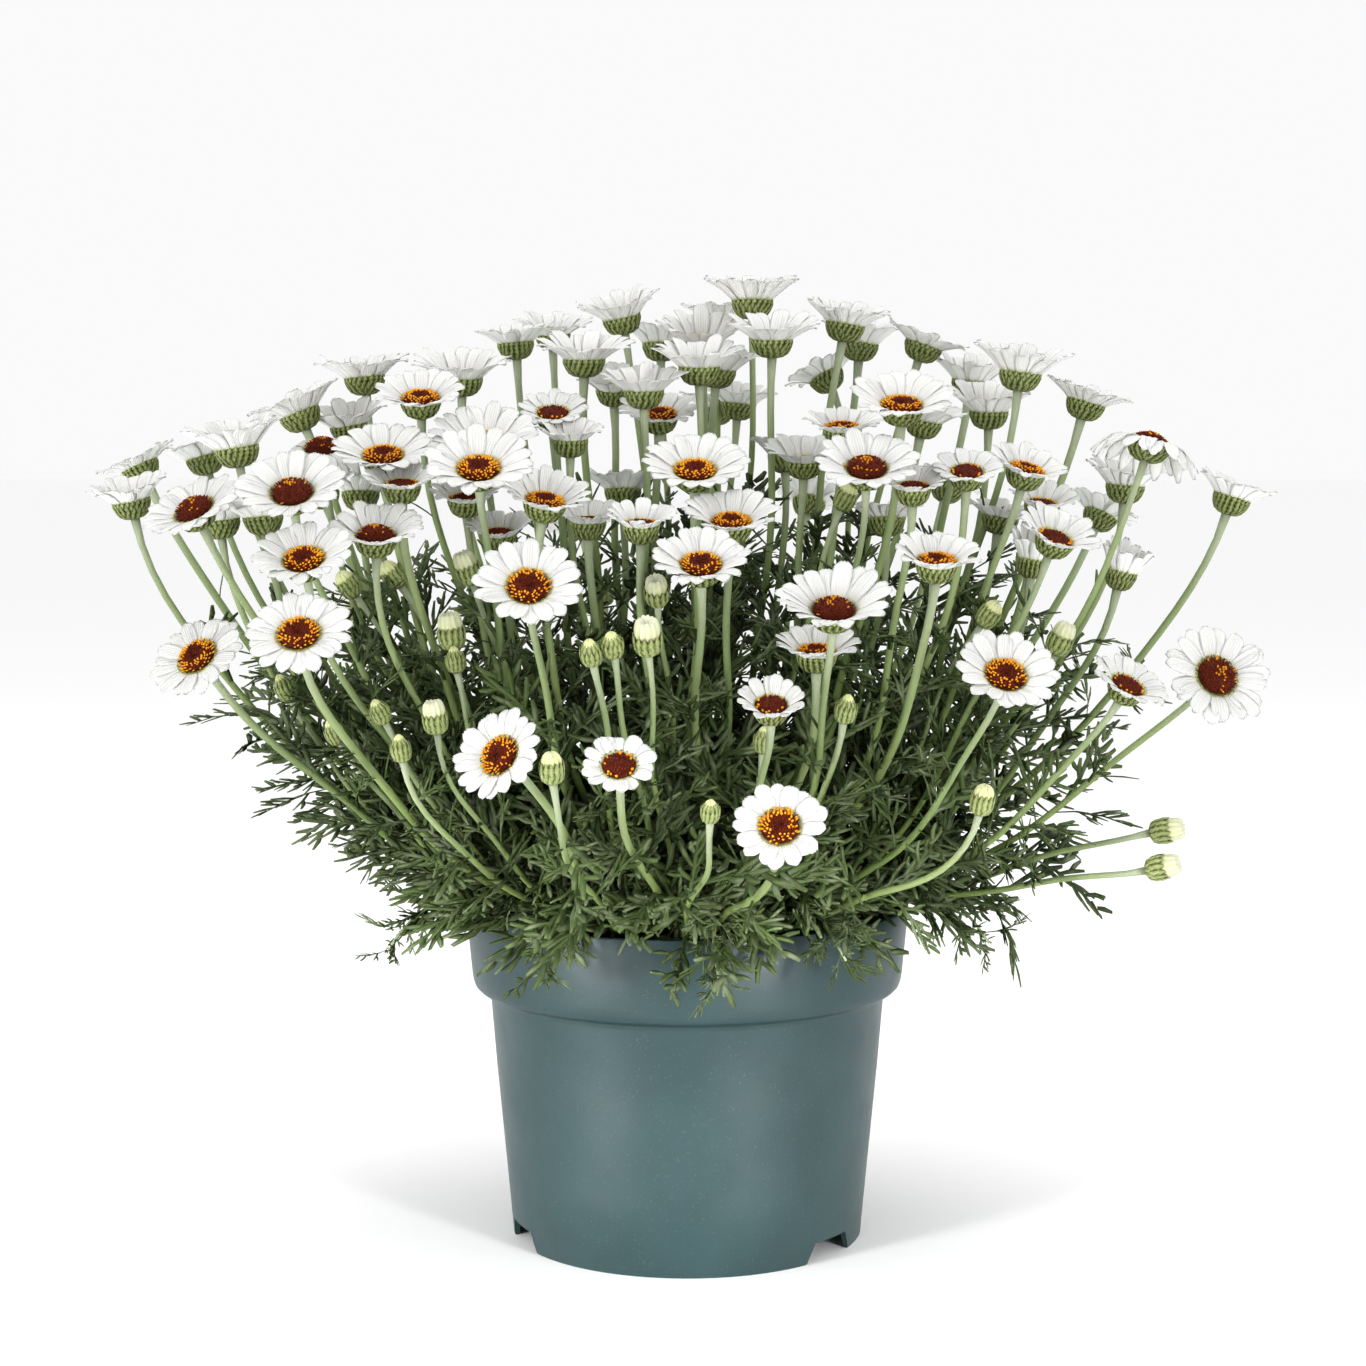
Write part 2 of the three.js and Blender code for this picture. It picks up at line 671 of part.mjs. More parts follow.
// A shoot climbs over the rim and hangs down outside it
function shootPiece(number, seat, steps, [x, y, z]) {
  const end = new THREE.Vector3(x, y, z);
  const edge = new THREE.Vector3(x, y, 0).setLength(RIM_TOP_RADIUS - 12).setZ(POT_HEIGHT + 16);
  const crest = end.clone().lerp(edge, 0.4).setZ(POT_HEIGHT + 15);
  const way = new THREE.CubicBezierCurve3(seat, edge, crest, end);
  const { rings, spine } = stalkRings(way, STALK_RADIUS, TWIG_END_RADIUS, steps);
  const last = 3 * steps;
  const faces = [...stalkFaces(steps), [last, last + 1, last + 2]];
  return { spine, leafy: true, solid: solidOf(rings.flat(), { leaf: faces }) };
}

// Branches

class Branch {
  constructor(kind, index, count, circleRadius) {
    this.name = `${kind}_branch_${index + 1}`;
    this.heading = ((index + 0.5) / count) * TURN;
    this.steps = STALK_STEPS[kind];
    this.out = leaning(90, radToDeg(this.heading));
    this.across = UP.clone().cross(this.out);
    this.foot = this.out.clone().multiplyScalar(circleRadius).setZ(SOIL_EDGE_HEIGHT + 3);
    this.stalks = [];
    this.pieces = [{ solid: footSolid(this.foot, 0) }];
  }

  // Stalks stand in rows on the foot, the lowest outermost, each row in order of heading
  growStalks() {
    const perRow = this.stalks.length > 8 ? 4 : 3;
    const rows = Math.ceil(this.stalks.length / perRow);
    const pitch = Math.min(STALK_PITCH, (1.2 * FOOT_RADIUS) / (Math.max(rows, perRow) - 1));
    const steepness = ({ at }) => (at[2] - FOOT_TOP) / Math.hypot(at[0], at[1]);
    const turn = ({ at }) => Math.sin(Math.atan2(at[1], at[0]) - this.heading);
    this.stalks.sort((a, b) => steepness(a) - steepness(b));
    for (let row = 0; row < rows; row += 1) {
      const inRow = this.stalks.slice(row * perRow, (row + 1) * perRow);
      inRow.sort((a, b) => turn(a) - turn(b));
      inRow.forEach(({ piece, number, at }, column) => {
        const seat = this.foot
          .clone()
          .setZ(FOOT_TOP - SEAT_DEPTH)
          .addScaledVector(this.out, ((rows - 1) / 2 - row) * pitch)
          .addScaledVector(this.across, (column - (inRow.length - 1) / 2) * pitch);
        this.pieces.push(piece(number, seat, this.steps, at));
      });
    }
  }
}

function branchCircle(kind, count, radius) {
  return Array.from({ length: count }, (_, i) => new Branch(kind, i, count, radius));
}

// The branch of a circle that is nearest in heading to a head
function branchFor([x, y], branches) {
  const share = (Math.atan2(y, x) / TURN + 1) % 1;
  return branches[Math.floor(share * branches.length)];
}

const outer = branchCircle("outer", OUTER_BRANCHES, OUTER_CIRCLE);
const inner = branchCircle("inner", INNER_BRANCHES, INNER_CIRCLE);
const branches = [...outer, ...inner];

for (const [piece, list] of [[flowerPiece, FLOWERS], [budPiece, BUDS], [shootPiece, SHOOTS]]) {
  list.forEach((at, number) => {
    const isInner = piece !== shootPiece && Math.hypot(at[0], at[1]) < INNER_REACH;
    branchFor(at, isInner ? inner : outer).stalks.push({ piece, number, at });
  });
}
branches.forEach((branch) => branch.growStalks());

const pot = potSolid();
const soil = soilSolid(branches.map((branch) => branch.foot));

// Leaves stand on every other stalk and all along a shoot. One that would touch a neighbour is
// turned, or left out.
function growLeaves() {
  const standing = [pot, soil, ...branches.flatMap((branch) => branch.pieces.map(({ solid }) => solid))];
  let number = 0;
  for (const branch of branches) {
    for (const { spine, leafy, solid } of branch.pieces.slice(1)) {
      number += 1;
      const others = standing.filter((other) => other !== solid);
      for (const share of leafShares(number, leafy)) {
        const leaf = freeLeaf(number + share, pointOn(spine, share), others);
        if (!leaf) continue;
        branch.pieces.push({ solid: leaf });
        standing.push(leaf);
        others.push(leaf);
      }
    }
  }
}

function leafShares(number, leafy) {
  if (leafy) return SHOOT_LEAF_SHARES;
  return number % 2 === 0 ? [0.2 + 0.3 * draw(number, 7)] : [];
}

function freeLeaf(number, root, others) {
  const away = radToDeg(Math.atan2(root.y, root.x));
  for (let attempt = 0; attempt < LEAF_TRIES; attempt += 1) {
    const heading = away + (attempt + draw(number, 9)) * LEAF_TURN;
    const direction = leaning(35 + 60 * draw(number + attempt, 10), heading);
    const length = (LEAF_LENGTH + LEAF_LENGTH_SPREAD * draw(number, 11)) * (1 - 0.04 * attempt);
    const leaf = leafSolid(root, direction, 0.8 * (draw(number, 12) - 0.5), length);
    if (others.every((other) => clearOf(leaf, other))) return leaf;
  }
  return null;
}

function clearOf(solid, other) {
  const a = solid.boundingBox();
  const b = other.boundingBox();
  const apart = [0, 1, 2].some(
    (k) => a.min[k] > b.max[k] + LEAF_CLEARANCE || b.min[k] > a.max[k] + LEAF_CLEARANCE,
  );
  return apart || solid.minGap(other, LEAF_CLEARANCE) >= LEAF_CLEARANCE;
}

growLeaves();

const model = new THREE.Group();
model.name = "potted_moroccan_daisy";
model.add(meshOf("pot", pot, 0.45));
model.add(meshOf("soil", soil, 0.95));
for (const branch of branches) {
  const grown = wasm.Manifold.union(branch.pieces.map(({ solid }) => solid)).simplify(FINEST);
  model.add(meshOf(branch.name, grown, 0.7));
}

export default model;
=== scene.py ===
# The looks of a moroccan daisy in a plastic nursery pot. +Z is up and -Y is the front. Sizes are in
# millimetres, which the meshes turn into metres, and the stage is in metres.

import math

import bmesh
import bpy
import numpy as np
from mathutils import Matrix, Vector


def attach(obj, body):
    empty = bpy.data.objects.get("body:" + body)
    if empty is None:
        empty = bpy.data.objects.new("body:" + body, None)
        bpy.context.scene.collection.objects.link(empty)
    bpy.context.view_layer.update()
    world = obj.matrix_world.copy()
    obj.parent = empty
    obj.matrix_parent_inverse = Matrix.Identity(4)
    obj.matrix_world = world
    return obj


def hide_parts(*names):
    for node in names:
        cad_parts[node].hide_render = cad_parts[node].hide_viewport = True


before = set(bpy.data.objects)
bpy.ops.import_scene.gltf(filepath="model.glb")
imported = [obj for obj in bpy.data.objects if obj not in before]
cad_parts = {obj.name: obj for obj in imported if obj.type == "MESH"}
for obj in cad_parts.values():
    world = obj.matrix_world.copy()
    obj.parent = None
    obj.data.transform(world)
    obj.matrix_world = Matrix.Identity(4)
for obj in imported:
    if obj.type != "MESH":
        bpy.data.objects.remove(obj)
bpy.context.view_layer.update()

MM = 0.001
TURN = 2 * math.pi
GOLDEN_TURN = math.radians(137.508)
UP = np.array([0.0, 0.0, 1.0])
rng = np.random.default_rng(11)

# Pot and soil
POT_HEIGHT = 143
RIM_TOP_RADIUS = 95
RIM_FOOT_RADIUS = 92
RIM_FOOT_HEIGHT = 107
BODY_TOP_RADIUS = 84.5
BODY_SLOPE = 0.09
BODY_STEP = 30
BASE_RADIUS = 75
POT_WALL = 2.2
POT_SIDES = 144
POT_CREASE = 38
FLOOR_HEIGHT = 9
NOTCH_HEADINGS = [323, 201, 83]
NOTCH_FOOT_WIDTH = 32
NOTCH_HEAD_WIDTH = 22
NOTCH_HEIGHT = 8.6
NOTCH_START = 55
NOTCH_END = 85
DRAIN_RADIUS = 5
DRAIN_CIRCLE = 58
SOIL_EDGE_HEIGHT = 129
SOIL_RADIUS = 90
SOIL_CROWN = 4
SOIL_BUMPS = 0.9
SOIL_CRUMBS = 260
CRUMB_SIZES = (0.8, 2.6)

# Branches and their stalks
OUTER_BRANCHES = 14
INNER_BRANCHES = 7
OUTER_CIRCLE = 56
INNER_CIRCLE = 26
INNER_REACH = 118
FOOT_RADIUS = 10.5
FOOT_TOP = 141
FOOT_SPREAD = 1.2
SEAT_DEPTH = 4
ROOT_DEPTH = 12
STALK_PITCH = 4.6
STALK_RADIUS = 1.45
STALK_RADIUS_FACTORS = (0.88, 1.12)
STALK_SIDES = 8
STALK_SWAY = 2.1
FLARE_START = 0.93
FLARE_RUN = 0.07
NECK_RADIUS = 1.5
TWIG_RADIUS = 1.1
TWIG_END_RADIUS = 0.5

# Flowers
SMALL_SPAN = 29
MIDDLE_SPAN = 35
CUP_DEPTH = 6.4
CUP_RADIUS = 3.7
CUP_RADIUS_PER_SPAN = 0.115
CUP_SCALE_THICKNESS = 0.42
RAY_ROOT_SHARE = 0.9
RAY_THICKNESS = 0.28
RAY_WIDTH = 1.05
RAY_LAYER = 0.2
RAY_TIP_LIFTS = {"opening": 1.1, "faded": -0.3}
LEAST_LIFT = 0.16
UPRIGHT_LIFT = 0.53
LIFT_PER_DEGREE = 0.008
LIFT_SPREAD = 0.2
LIT_SIDE_DROP = 0.34
LIT_SIDE_LEAN = 45
DISC_SHARE = 0.89
OPENING_DISC = 0.75
FLORET_SIDES = 4

# Buds
BUD_LEAST_RADIUS = 0.4
BUD_RADIUS_PER_LENGTH = 0.33
BUD_LEAN = 8
BUD_LEAN_SPREAD = 30
LOW_BUD_HEIGHT = 190
LOW_BUD_LEAN = 50
PARTING_BUD_LENGTH = 12
BUD_SCALE_THICKNESS = 0.28
BUD_SCALE_HALF_WIDTH = 0.32
FOLDED_RAYS = 11
FOLD_DEPTH = 0.16

# Leaves
LEAF_LENGTHS = (30, 52)
LEAF_TAPER = 0.4
LEAF_PITCH = 9.8
LEAF_CROWDING = 1.12
LEAF_TOP_SHARE = 0.68
LEAF_TRIES = 4
LEAF_DEPTH = 0.65
SHOOT_LEAVES = 18
SHOOT_LEAF_LENGTHS = (20, 34)
RIB_HALF_WIDTH = 0.029
LOBE_HALF_WIDTH = 0.034
FORK_HALF_WIDTH = 0.031
LOBE_PAIRS = 4
FORK_CHANCE = 0.85
BRACT_HALF_WIDTH = 0.8
POT_CLEARANCE = 1.5
SOIL_CLEARANCE = 3

# Each flower: x, y, z of its middle, lean from upright, heading of the lean, span, state if not ring
FLOWERS = [
    (-141, 40, 367, 6, 180, 41),
    (-97, 20, 366, 6, -90, 42),
    (-109, -40, 356, 22, -90, 37),
    (-164, 0, 351, 22, 180, 40),
    (-145, 14, 346, 10, -150, 34),
    (-181, -60, 336, 9, 180, 40),
    (-215, 60, 332, 15, 160, 36),
    (-238, 30, 329, 24, 180, 36),
    (-234, -10, 314, 12, 200, 34),
    (-193, -90, 312, 34, -125, 40, "dome"),
    (-190, -50, 307, 5, 180, 34),
    (-152, -110, 319, 36, -92, 41, "dome"),
    (-152, -20, 336, 20, -90, 36, "faded"),
    (-121, -72, 333, 24, -90, 40),
    (-112, -90, 322, 14, -90, 30, "young"),
    (-171, -60, 309, 6, 180, 34),
    (-145, -130, 294, 33, -97, 38),
    (-120, -110, 302, 20, -85, 36, "dome"),
    (-141, 20, 317, 10, 90, 34),
    (-189, -110, 256, 48, -120, 39),
    (-143, -160, 268, 42, -92, 39),
    (-81, -100, 328, 34, -88, 42),
    (-82, -54, 338, 30, -90, 42),
    (-89, -60, 316, 15, -90, 30, "young"),
    (-78, 90, 384, 5, 180, 36),
    (-63, 130, 390, 10, -90, 36, "young"),
    (-29, 60, 394, 14, -150, 38),
    (-44, 10, 374, 5, -90, 42),
    (-12, 110, 384, 6, 90, 38),
    (5, -10, 370, 4, -90, 39),
    (13, 40, 370, 5, 0, 36),
    (7, 60, 383, 12, -90, 40),
    (29, 60, 401, 4, 90, 43),
    (36, 5, 382, 4, -90, 41),
    (16, 130, 396, 6, 90, 36),
    (69, 40, 390, 10, 0, 38),
    (80, 110, 384, 6, 30, 38),
    (105, 60, 382, 20, 0, 38),
    (65, 120, 370, 30, 150, 36),
    (86, -60, 353, 24, -88, 41),
    (-18, -20, 360, 4, -90, 36),
    (-32, 40, 362, 12, -90, 33, "young"),
    (-56, -20, 351, 26, -90, 29, "young"),
    (-12, 5, 350, 20, -90, 34),
    (-48, -40, 340, 8, -90, 28, "young"),
    (14, 150, 355, 6, 90, 36),
    (24, 120, 357, 6, 0, 36),
    (3, -70, 327, 27, -90, 42),
    (70, -90, 328, 30, -90, 41, "dome"),
    (-56, -90, 315, 22, -65, 37),
    (-40, -60, 307, 10, -90, 27, "young"),
    (-18, -110, 307, 12, -90, 27, "young"),
    (17, -95, 307, 20, -90, 37),
    (5, -130, 292, 30, -90, 37),
    (-59, -150, 285, 48, -88, 40),
    (54, -150, 276, 26, -90, 42, "dome"),
    (50, -105, 257, 12, -90, 33),
    (-76, -60, 302, 15, -90, 26, "young"),
    (49, -10, 331, 10, -90, 33, "young"),
    (43, 40, 333, 8, 90, 30),
    (89, -80, 321, 16, -90, 27, "young"),
    (64, -30, 344, 12, -90, 32),
    (101, 10, 348, 14, -20, 33),
    (127, 70, 366, 6, 0, 36),
    (142, 10, 368, 8, 0, 42),
    (131, 30, 352, 5, -90, 37),
    (173, 30, 356, 16, 0, 38),
    (189, -40, 338, 18, 20, 42, "faded"),
    (189, 20, 320, 5, 0, 36),
    (235, 20, 315, 18, 0, 35),
    (111, -74, 327, 24, -90, 28, "young"),
    (136, -60, 327, 20, -50, 33),
    (148, -20, 313, 16, -70, 29, "young"),
    (144, -90, 301, 30, -55, 33, "young"),
    (143, -30, 290, 8, 0, 22, "opening"),
    (183, -10, 284, 14, 0, 22, "opening"),
    (94, -130, 293, 18, -85, 33),
    (118, -150, 252, 42, -80, 38),
    (170, -110, 245, 34, -50, 31, "young"),
    (208, -90, 247, 62, -75, 42, "dome"),
    (134, 10, 307, 10, 0, 33),
    (83, -20, 307, 8, 90, 30),
    (-28, 30, 318, 8, 90, 33),
    (-68, -175, 225, 60, -125, 36),
    (-25, -180, 222, 42, -90, 27, "young"),
    (33, -190, 201, 52, -95, 34),
    (31, -150, 241, 30, -90, 25, "young"),
    (-170, 115, 316, 24, 145, 34),
    (-112, 150, 335, 22, 125, 34),
    (-52, 182, 300, 34, 105, 34, "dome"),
    (60, 180, 310, 32, 70, 34),
    (125, 150, 318, 26, 50, 34),
    (190, 95, 306, 28, 25, 34, "dome"),
    (2, 186, 246, 52, 90, 34),
]

# Each bud: x, y, z of its middle, length
BUDS = [
    (-93, -90, 265, 15),
    (-91, -95, 254, 10),
    (-96, -130, 235, 13),
    (-118, -120, 236, 10),
    (-108, -140, 224, 10),
    (-49, -185, 222, 12),
    (8, -190, 207, 9),
    (-12, -110, 282, 13),
    (-15, -150, 267, 15),
    (-28, -150, 264, 11),
    (-36, -150, 261, 11),
    (-88, -70, 289, 14),
    (122, -60, 270, 12),
    (151, -60, 260, 14),
    (110, -150, 206, 12),
    (195, -60, 182, 14),
    (190, -80, 170, 14),
    (60, -130, 238, 11),
    (29, -120, 225, 10),
    (-137, -60, 282, 12),
    (-119, -60, 286, 12),
    (-163, -60, 240, 11),
    (-138, -100, 226, 10),
    (65, -40, 317, 12),
    (-40, 150, 268, 13),
    (88, 138, 262, 12),
    (-150, 70, 262, 12),
]

# Each leafy shoot that hangs over the rim of the pot: x, y, z of its tip
SHOOTS = [
    (-124, -45, 130),
    (-56, -113, 134),
    (12, -118, 130),
    (62, -106, 137),
    (126, -35, 131),
    (92, 86, 134),
    (0, 124, 132),
    (-92, 84, 134),
]


def draw(number, salt):
    """A repeatable draw between 0 and 1 for a numbered thing."""
    wave = math.sin(number * 12.9898 + salt * 78.233) * 43758.5453
    return wave - math.floor(wave)


def leaning(lean, heading):
    """The direction that leans so far from upright towards a heading, both in degrees."""
    lean, turn = math.radians(lean), math.radians(heading)
    across = math.sin(lean)
    return np.array([across * math.cos(turn), across * math.sin(turn), math.cos(lean)])


def unit(vectors):
    return vectors / np.linalg.norm(vectors, axis=-1, keepdims=True)


class Shape:
    """Collects forms, with some values for each point, to make one mesh of them."""

    def __init__(self, value_names=()):
        self.points = []
        self.loops = []
        self.sizes = []
        self.values = {name: [] for name in value_names}
        self.count = 0

    def loft(self, rings, caps=(True, True), **values):
        """Adds one form for each row of rings: rings is (forms, rows, sides, 3)."""
        forms, rows, sides, _ = rings.shape
        index = self.count + np.arange(forms * rows * sides).reshape(forms, rows, sides)
        around = np.roll(index, -1, axis=2)
        walls = [index[:, :-1], around[:, :-1], around[:, 1:], index[:, 1:]]
        faces = [np.stack(walls, axis=-1).reshape(-1, 4)]
        if caps[0]:
            faces.append(index[:, 0, ::-1])
        if caps[1]:
            faces.append(index[:, -1])
        for corners in faces:
            self.loops.append(corners.ravel())
            self.sizes.append(np.full(len(corners), corners.shape[1]))
        self.points.append(rings.reshape(-1, 3))
        for name, kept in self.values.items():
            kept.append(np.broadcast_to(values[name], index.shape).astype(float).ravel())
        self.count += index.size

    def mesh(self, name, scale=MM):
        """All the forms as one mesh, with their values on its points."""
        points = np.concatenate(self.points) * scale
        loops = np.concatenate(self.loops)
        sizes = np.concatenate(self.sizes)
        mesh = bpy.data.meshes.new(name)
        mesh.vertices.add(len(points))
        mesh.vertices.foreach_set("co", points.ravel())
        mesh.loops.add(len(loops))
        mesh.loops.foreach_set("vertex_index", loops)
        mesh.polygons.add(len(sizes))
        mesh.polygons.foreach_set("loop_start", np.cumsum(sizes) - sizes)
        mesh.polygons.foreach_set("use_smooth", np.ones(len(sizes), dtype=bool))
        mesh.update(calc_edges=True)
        for value_name, kept in self.values.items():
            layer = mesh.attributes.new(value_name, "FLOAT", "POINT")
            layer.data.foreach_set("value", np.concatenate(kept))
        return mesh


def link(name, data):
    """A new object in the scene."""
    made = bpy.data.objects.new(name, data)
    bpy.context.scene.collection.objects.link(made)
    return made


def place(name, mesh, material, slot, nodes):
    """Puts a mesh in the scene as a piece that stands for some solids."""
    mesh.materials.append(material)
    piece = link(name, mesh)
    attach(piece, "root")
    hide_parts(*nodes)


# Curves and tubes


def bezier(corners, count):
    """Points at equal steps along a curve with four corners."""
    share = np.linspace(0, 1, 80)[:, None]
    a, b, c, d = corners
    fine = (
        a * (1 - share) ** 3
        + 3 * b * share * (1 - share) ** 2
        + 3 * c * share**2 * (1 - share)
        + d * share**3
    )
    steps = np.linalg.norm(np.diff(fine, axis=0), axis=1)
    length = np.concatenate([[0], np.cumsum(steps)])
    at = np.linspace(0, length[-1], count)
    return np.stack([np.interp(at, length, fine[:, k]) for k in range(3)], axis=1)


def frames_along(path):
    """The direction of a path at each of its points, and two directions across it."""
    along = unit(np.gradient(path, axis=0))
    across = np.zeros_like(along)
    start = np.cross(along[0], [0.0, 1.0, 0.3])
    across[0] = unit(start)
    for i in range(1, len(path)):
        carried = across[i - 1] - along[i] * np.dot(across[i - 1], along[i])
        across[i] = unit(carried)
    return along, across, np.cross(along, across)


def tube_rings(path, radii, sides):
    _, across, other = frames_along(path)
    angle = (np.arange(sides) / sides * TURN)[None, :, None]
    ring = np.cos(angle) * across[:, None] + np.sin(angle) * other[:, None]
    return (path[:, None] + ring * np.asarray(radii)[:, None, None])[None]


def between(first, second, angle):
    """The direction at an angle from the first of two that are square to each other."""
    return first * math.cos(angle) + second * math.sin(angle)


def spun(out, aside, up, turn):
    """Points that lie so far out, aside and up, turned about +Z."""
    x = out * np.cos(turn) - aside * np.sin(turn)
    y = out * np.sin(turn) + aside * np.cos(turn)
    return np.stack(np.broadcast_arrays(x, y, up), axis=-1)


def turned(profile, sides, angle_from=0.0):
    """Rings of points round +Z for a profile of (radius, height) pairs."""
    profile = np.asarray(profile, dtype=float)
    angle = angle_from + np.arange(sides) / sides * TURN
    return spun(profile[:, :1], 0, profile[:, 1:], angle)[None]


def each(values):
    """One value for each form, to be spread over its rows and sides."""
    return values[:, None, None]


# Branches: which stalk stands where


class Branch:
    """A foot that stands in the soil, and the stalks that rise from it."""

    def __init__(self, kind, index, count, radius):
        self.node = f"{kind}_branch_{index + 1}"
        self.heading = (index + 0.5) / count * TURN
        self.out = leaning(90, math.degrees(self.heading))
        self.across = np.cross(UP, self.out)
        self.foot = self.out * radius + UP * (FOOT_TOP - SEAT_DEPTH)
        self.stalks = []

    def seats(self):
        """Rows of 3 or 4 stalks on the foot, the lowest outermost, each row by heading."""
        per_row = 4 if len(self.stalks) > 8 else 3
        rows = math.ceil(len(self.stalks) / per_row)
        pitch = min(STALK_PITCH, FOOT_SPREAD * FOOT_RADIUS / (max(rows, per_row) - 1))
        self.stalks.sort(key=lambda s: (s[2][2] - FOOT_TOP) / math.hypot(s[2][0], s[2][1]))
        for row in range(rows):
            in_row = self.stalks[row * per_row : (row + 1) * per_row]
            in_row.sort(key=lambda s: math.sin(math.atan2(s[2][1], s[2][0]) - self.heading))
            for column, (kind, number, at) in enumerate(in_row):
                seat = self.foot + self.out * ((rows - 1) / 2 - row) * pitch
                seat = seat + self.across * (column - (len(in_row) - 1) / 2) * pitch
                yield kind, number, seat, at


def branch_for(at, branches):
    share = (math.atan2(at[1], at[0]) / TURN + 1) % 1
    return branches[math.floor(share * len(branches))]


outer = [Branch("outer", i, OUTER_BRANCHES, OUTER_CIRCLE) for i in range(OUTER_BRANCHES)]
inner = [Branch("inner", i, INNER_BRANCHES, INNER_CIRCLE) for i in range(INNER_BRANCHES)]
for kind, heads in (("flower", FLOWERS), ("bud", BUDS), ("shoot", SHOOTS)):
    for number, at in enumerate(heads):
        is_inner = kind != "shoot" and math.hypot(at[0], at[1]) < INNER_REACH
        branch_for(at, inner if is_inner else outer).stalks.append((kind, number, at))


# Stalks


def stalk_path(seat, end, axis, count):
    """Out from the seat, then up, then into the head along the head's axis."""
    reach = (end - seat) * [1, 1, 0]
    rise = end[2] - seat[2]
    first = seat + 0.45 * reach + UP * max(0.22 * rise, 20)
    second = end - axis * min(22 + 45 * axis[2], 0.45 * rise)
    return bezier([seat, first, second, end], count)


def shoot_path(seat, end, count):
    """Over the rim of the pot and down outside it."""
    edge = unit(end * [1, 1, 0]) * (RIM_TOP_RADIUS - 12) + UP * (POT_HEIGHT + 16)
    crest = end + 0.4 * (edge - end)
    crest[2] = POT_HEIGHT + 15
    return bezier([seat, edge, crest, end], count)


def wavered(path, number):
    """A path with slow bends that leave its ends in place."""
    share = np.linspace(0, 1, len(path))
    _, across, other = frames_along(path)
    hold = np.sin(math.pi * share) ** 0.8
    sway = STALK_SWAY * np.sin(TURN * (share * 1.6 + draw(number, 21))) * hold
    swing = STALK_SWAY * np.sin(TURN * (share * 1.3 + draw(number, 22))) * hold
    return path + across * sway[:, None] + other * swing[:, None]


def grow_stalk(shape, path, start_radius, end_radius, flare):
    """A stalk starts under the soil and widens under its head."""
    share = np.linspace(0, 1, len(path))
    radii = start_radius + (end_radius - start_radius) * share
    radii = radii * rng.uniform(*STALK_RADIUS_FACTORS)
    radii = radii + flare * np.clip((share - FLARE_START) / FLARE_RUN, 0, 1) ** 2
    path = np.vstack([path[0] - UP * ROOT_DEPTH, path])
    radii = np.concatenate([[radii[0] * 0.9], radii])
    share = np.concatenate([[0], share])
    rings = tube_rings(path, radii, STALK_SIDES)
    shape.loft(rings, along=share[:, None], tone=rng.random())


# Flowers: rays, disc and cup are made round +Z and then turned to the flower's axis

# How far along a ray its rows lie, and how wide it is there
RAY_ROWS = np.array([0.0, 0.15, 0.36, 0.6, 0.82, 0.95, 1.0])
RAY_WIDTHS = np.array([0.64, 0.82, 0.97, 1.0, 0.91, 0.72, 0.46])

# How far across a ray its points lie, 3 below and 7 above, with their part in teeth and grooves
RAY_ACROSS = np.array([0.55, 0.0, -0.55, -1.0, -0.67, -0.33, 0.0, 0.33, 0.67, 1.0])
RAY_SIDE = np.array([-1.0] * 3 + [1.0] * 7)
RAY_TEETH = np.array([0.02, 0.0, 0.02, 0.085, 0.015, 0.05, 0.0, 0.045, 0.01, 0.09])
RAY_GROOVES = np.array([0.0, 0.0, 0.0, 0.0, 0.08, -0.14, 0.1, -0.14, 0.08, 0.0])
RAY_MIDDLE = 6


def cup_radius(span):
    return CUP_RADIUS + CUP_RADIUS_PER_SPAN * span


def ray_lift(number, lean, span, state):
    """How far the ray tips stand above the middle of the flower."""
    radius = span / 2
    if state in RAY_TIP_LIFTS:
        return RAY_TIP_LIFTS[state] * radius
    upright = max(LEAST_LIFT, UPRIGHT_LIFT - LIFT_PER_DEGREE * lean)
    return radius * (upright + LIFT_SPREAD * (draw(number, 3) - 0.5))


def ray_count(span, state):
    if state == "opening":
        return 14
    return 15 if span < SMALL_SPAN else 17 if span < MIDDLE_SPAN else 19


def ray_profile(along, state):
    """The height of a ray at a share of its length, as a share of its lift."""
    if state == "faded":
        return 1.3 * along**2 - 0.35 * np.sin(math.pi * along)
    if state == "opening":
        return along**0.8
    return 1 - (1 - along) ** 1.6


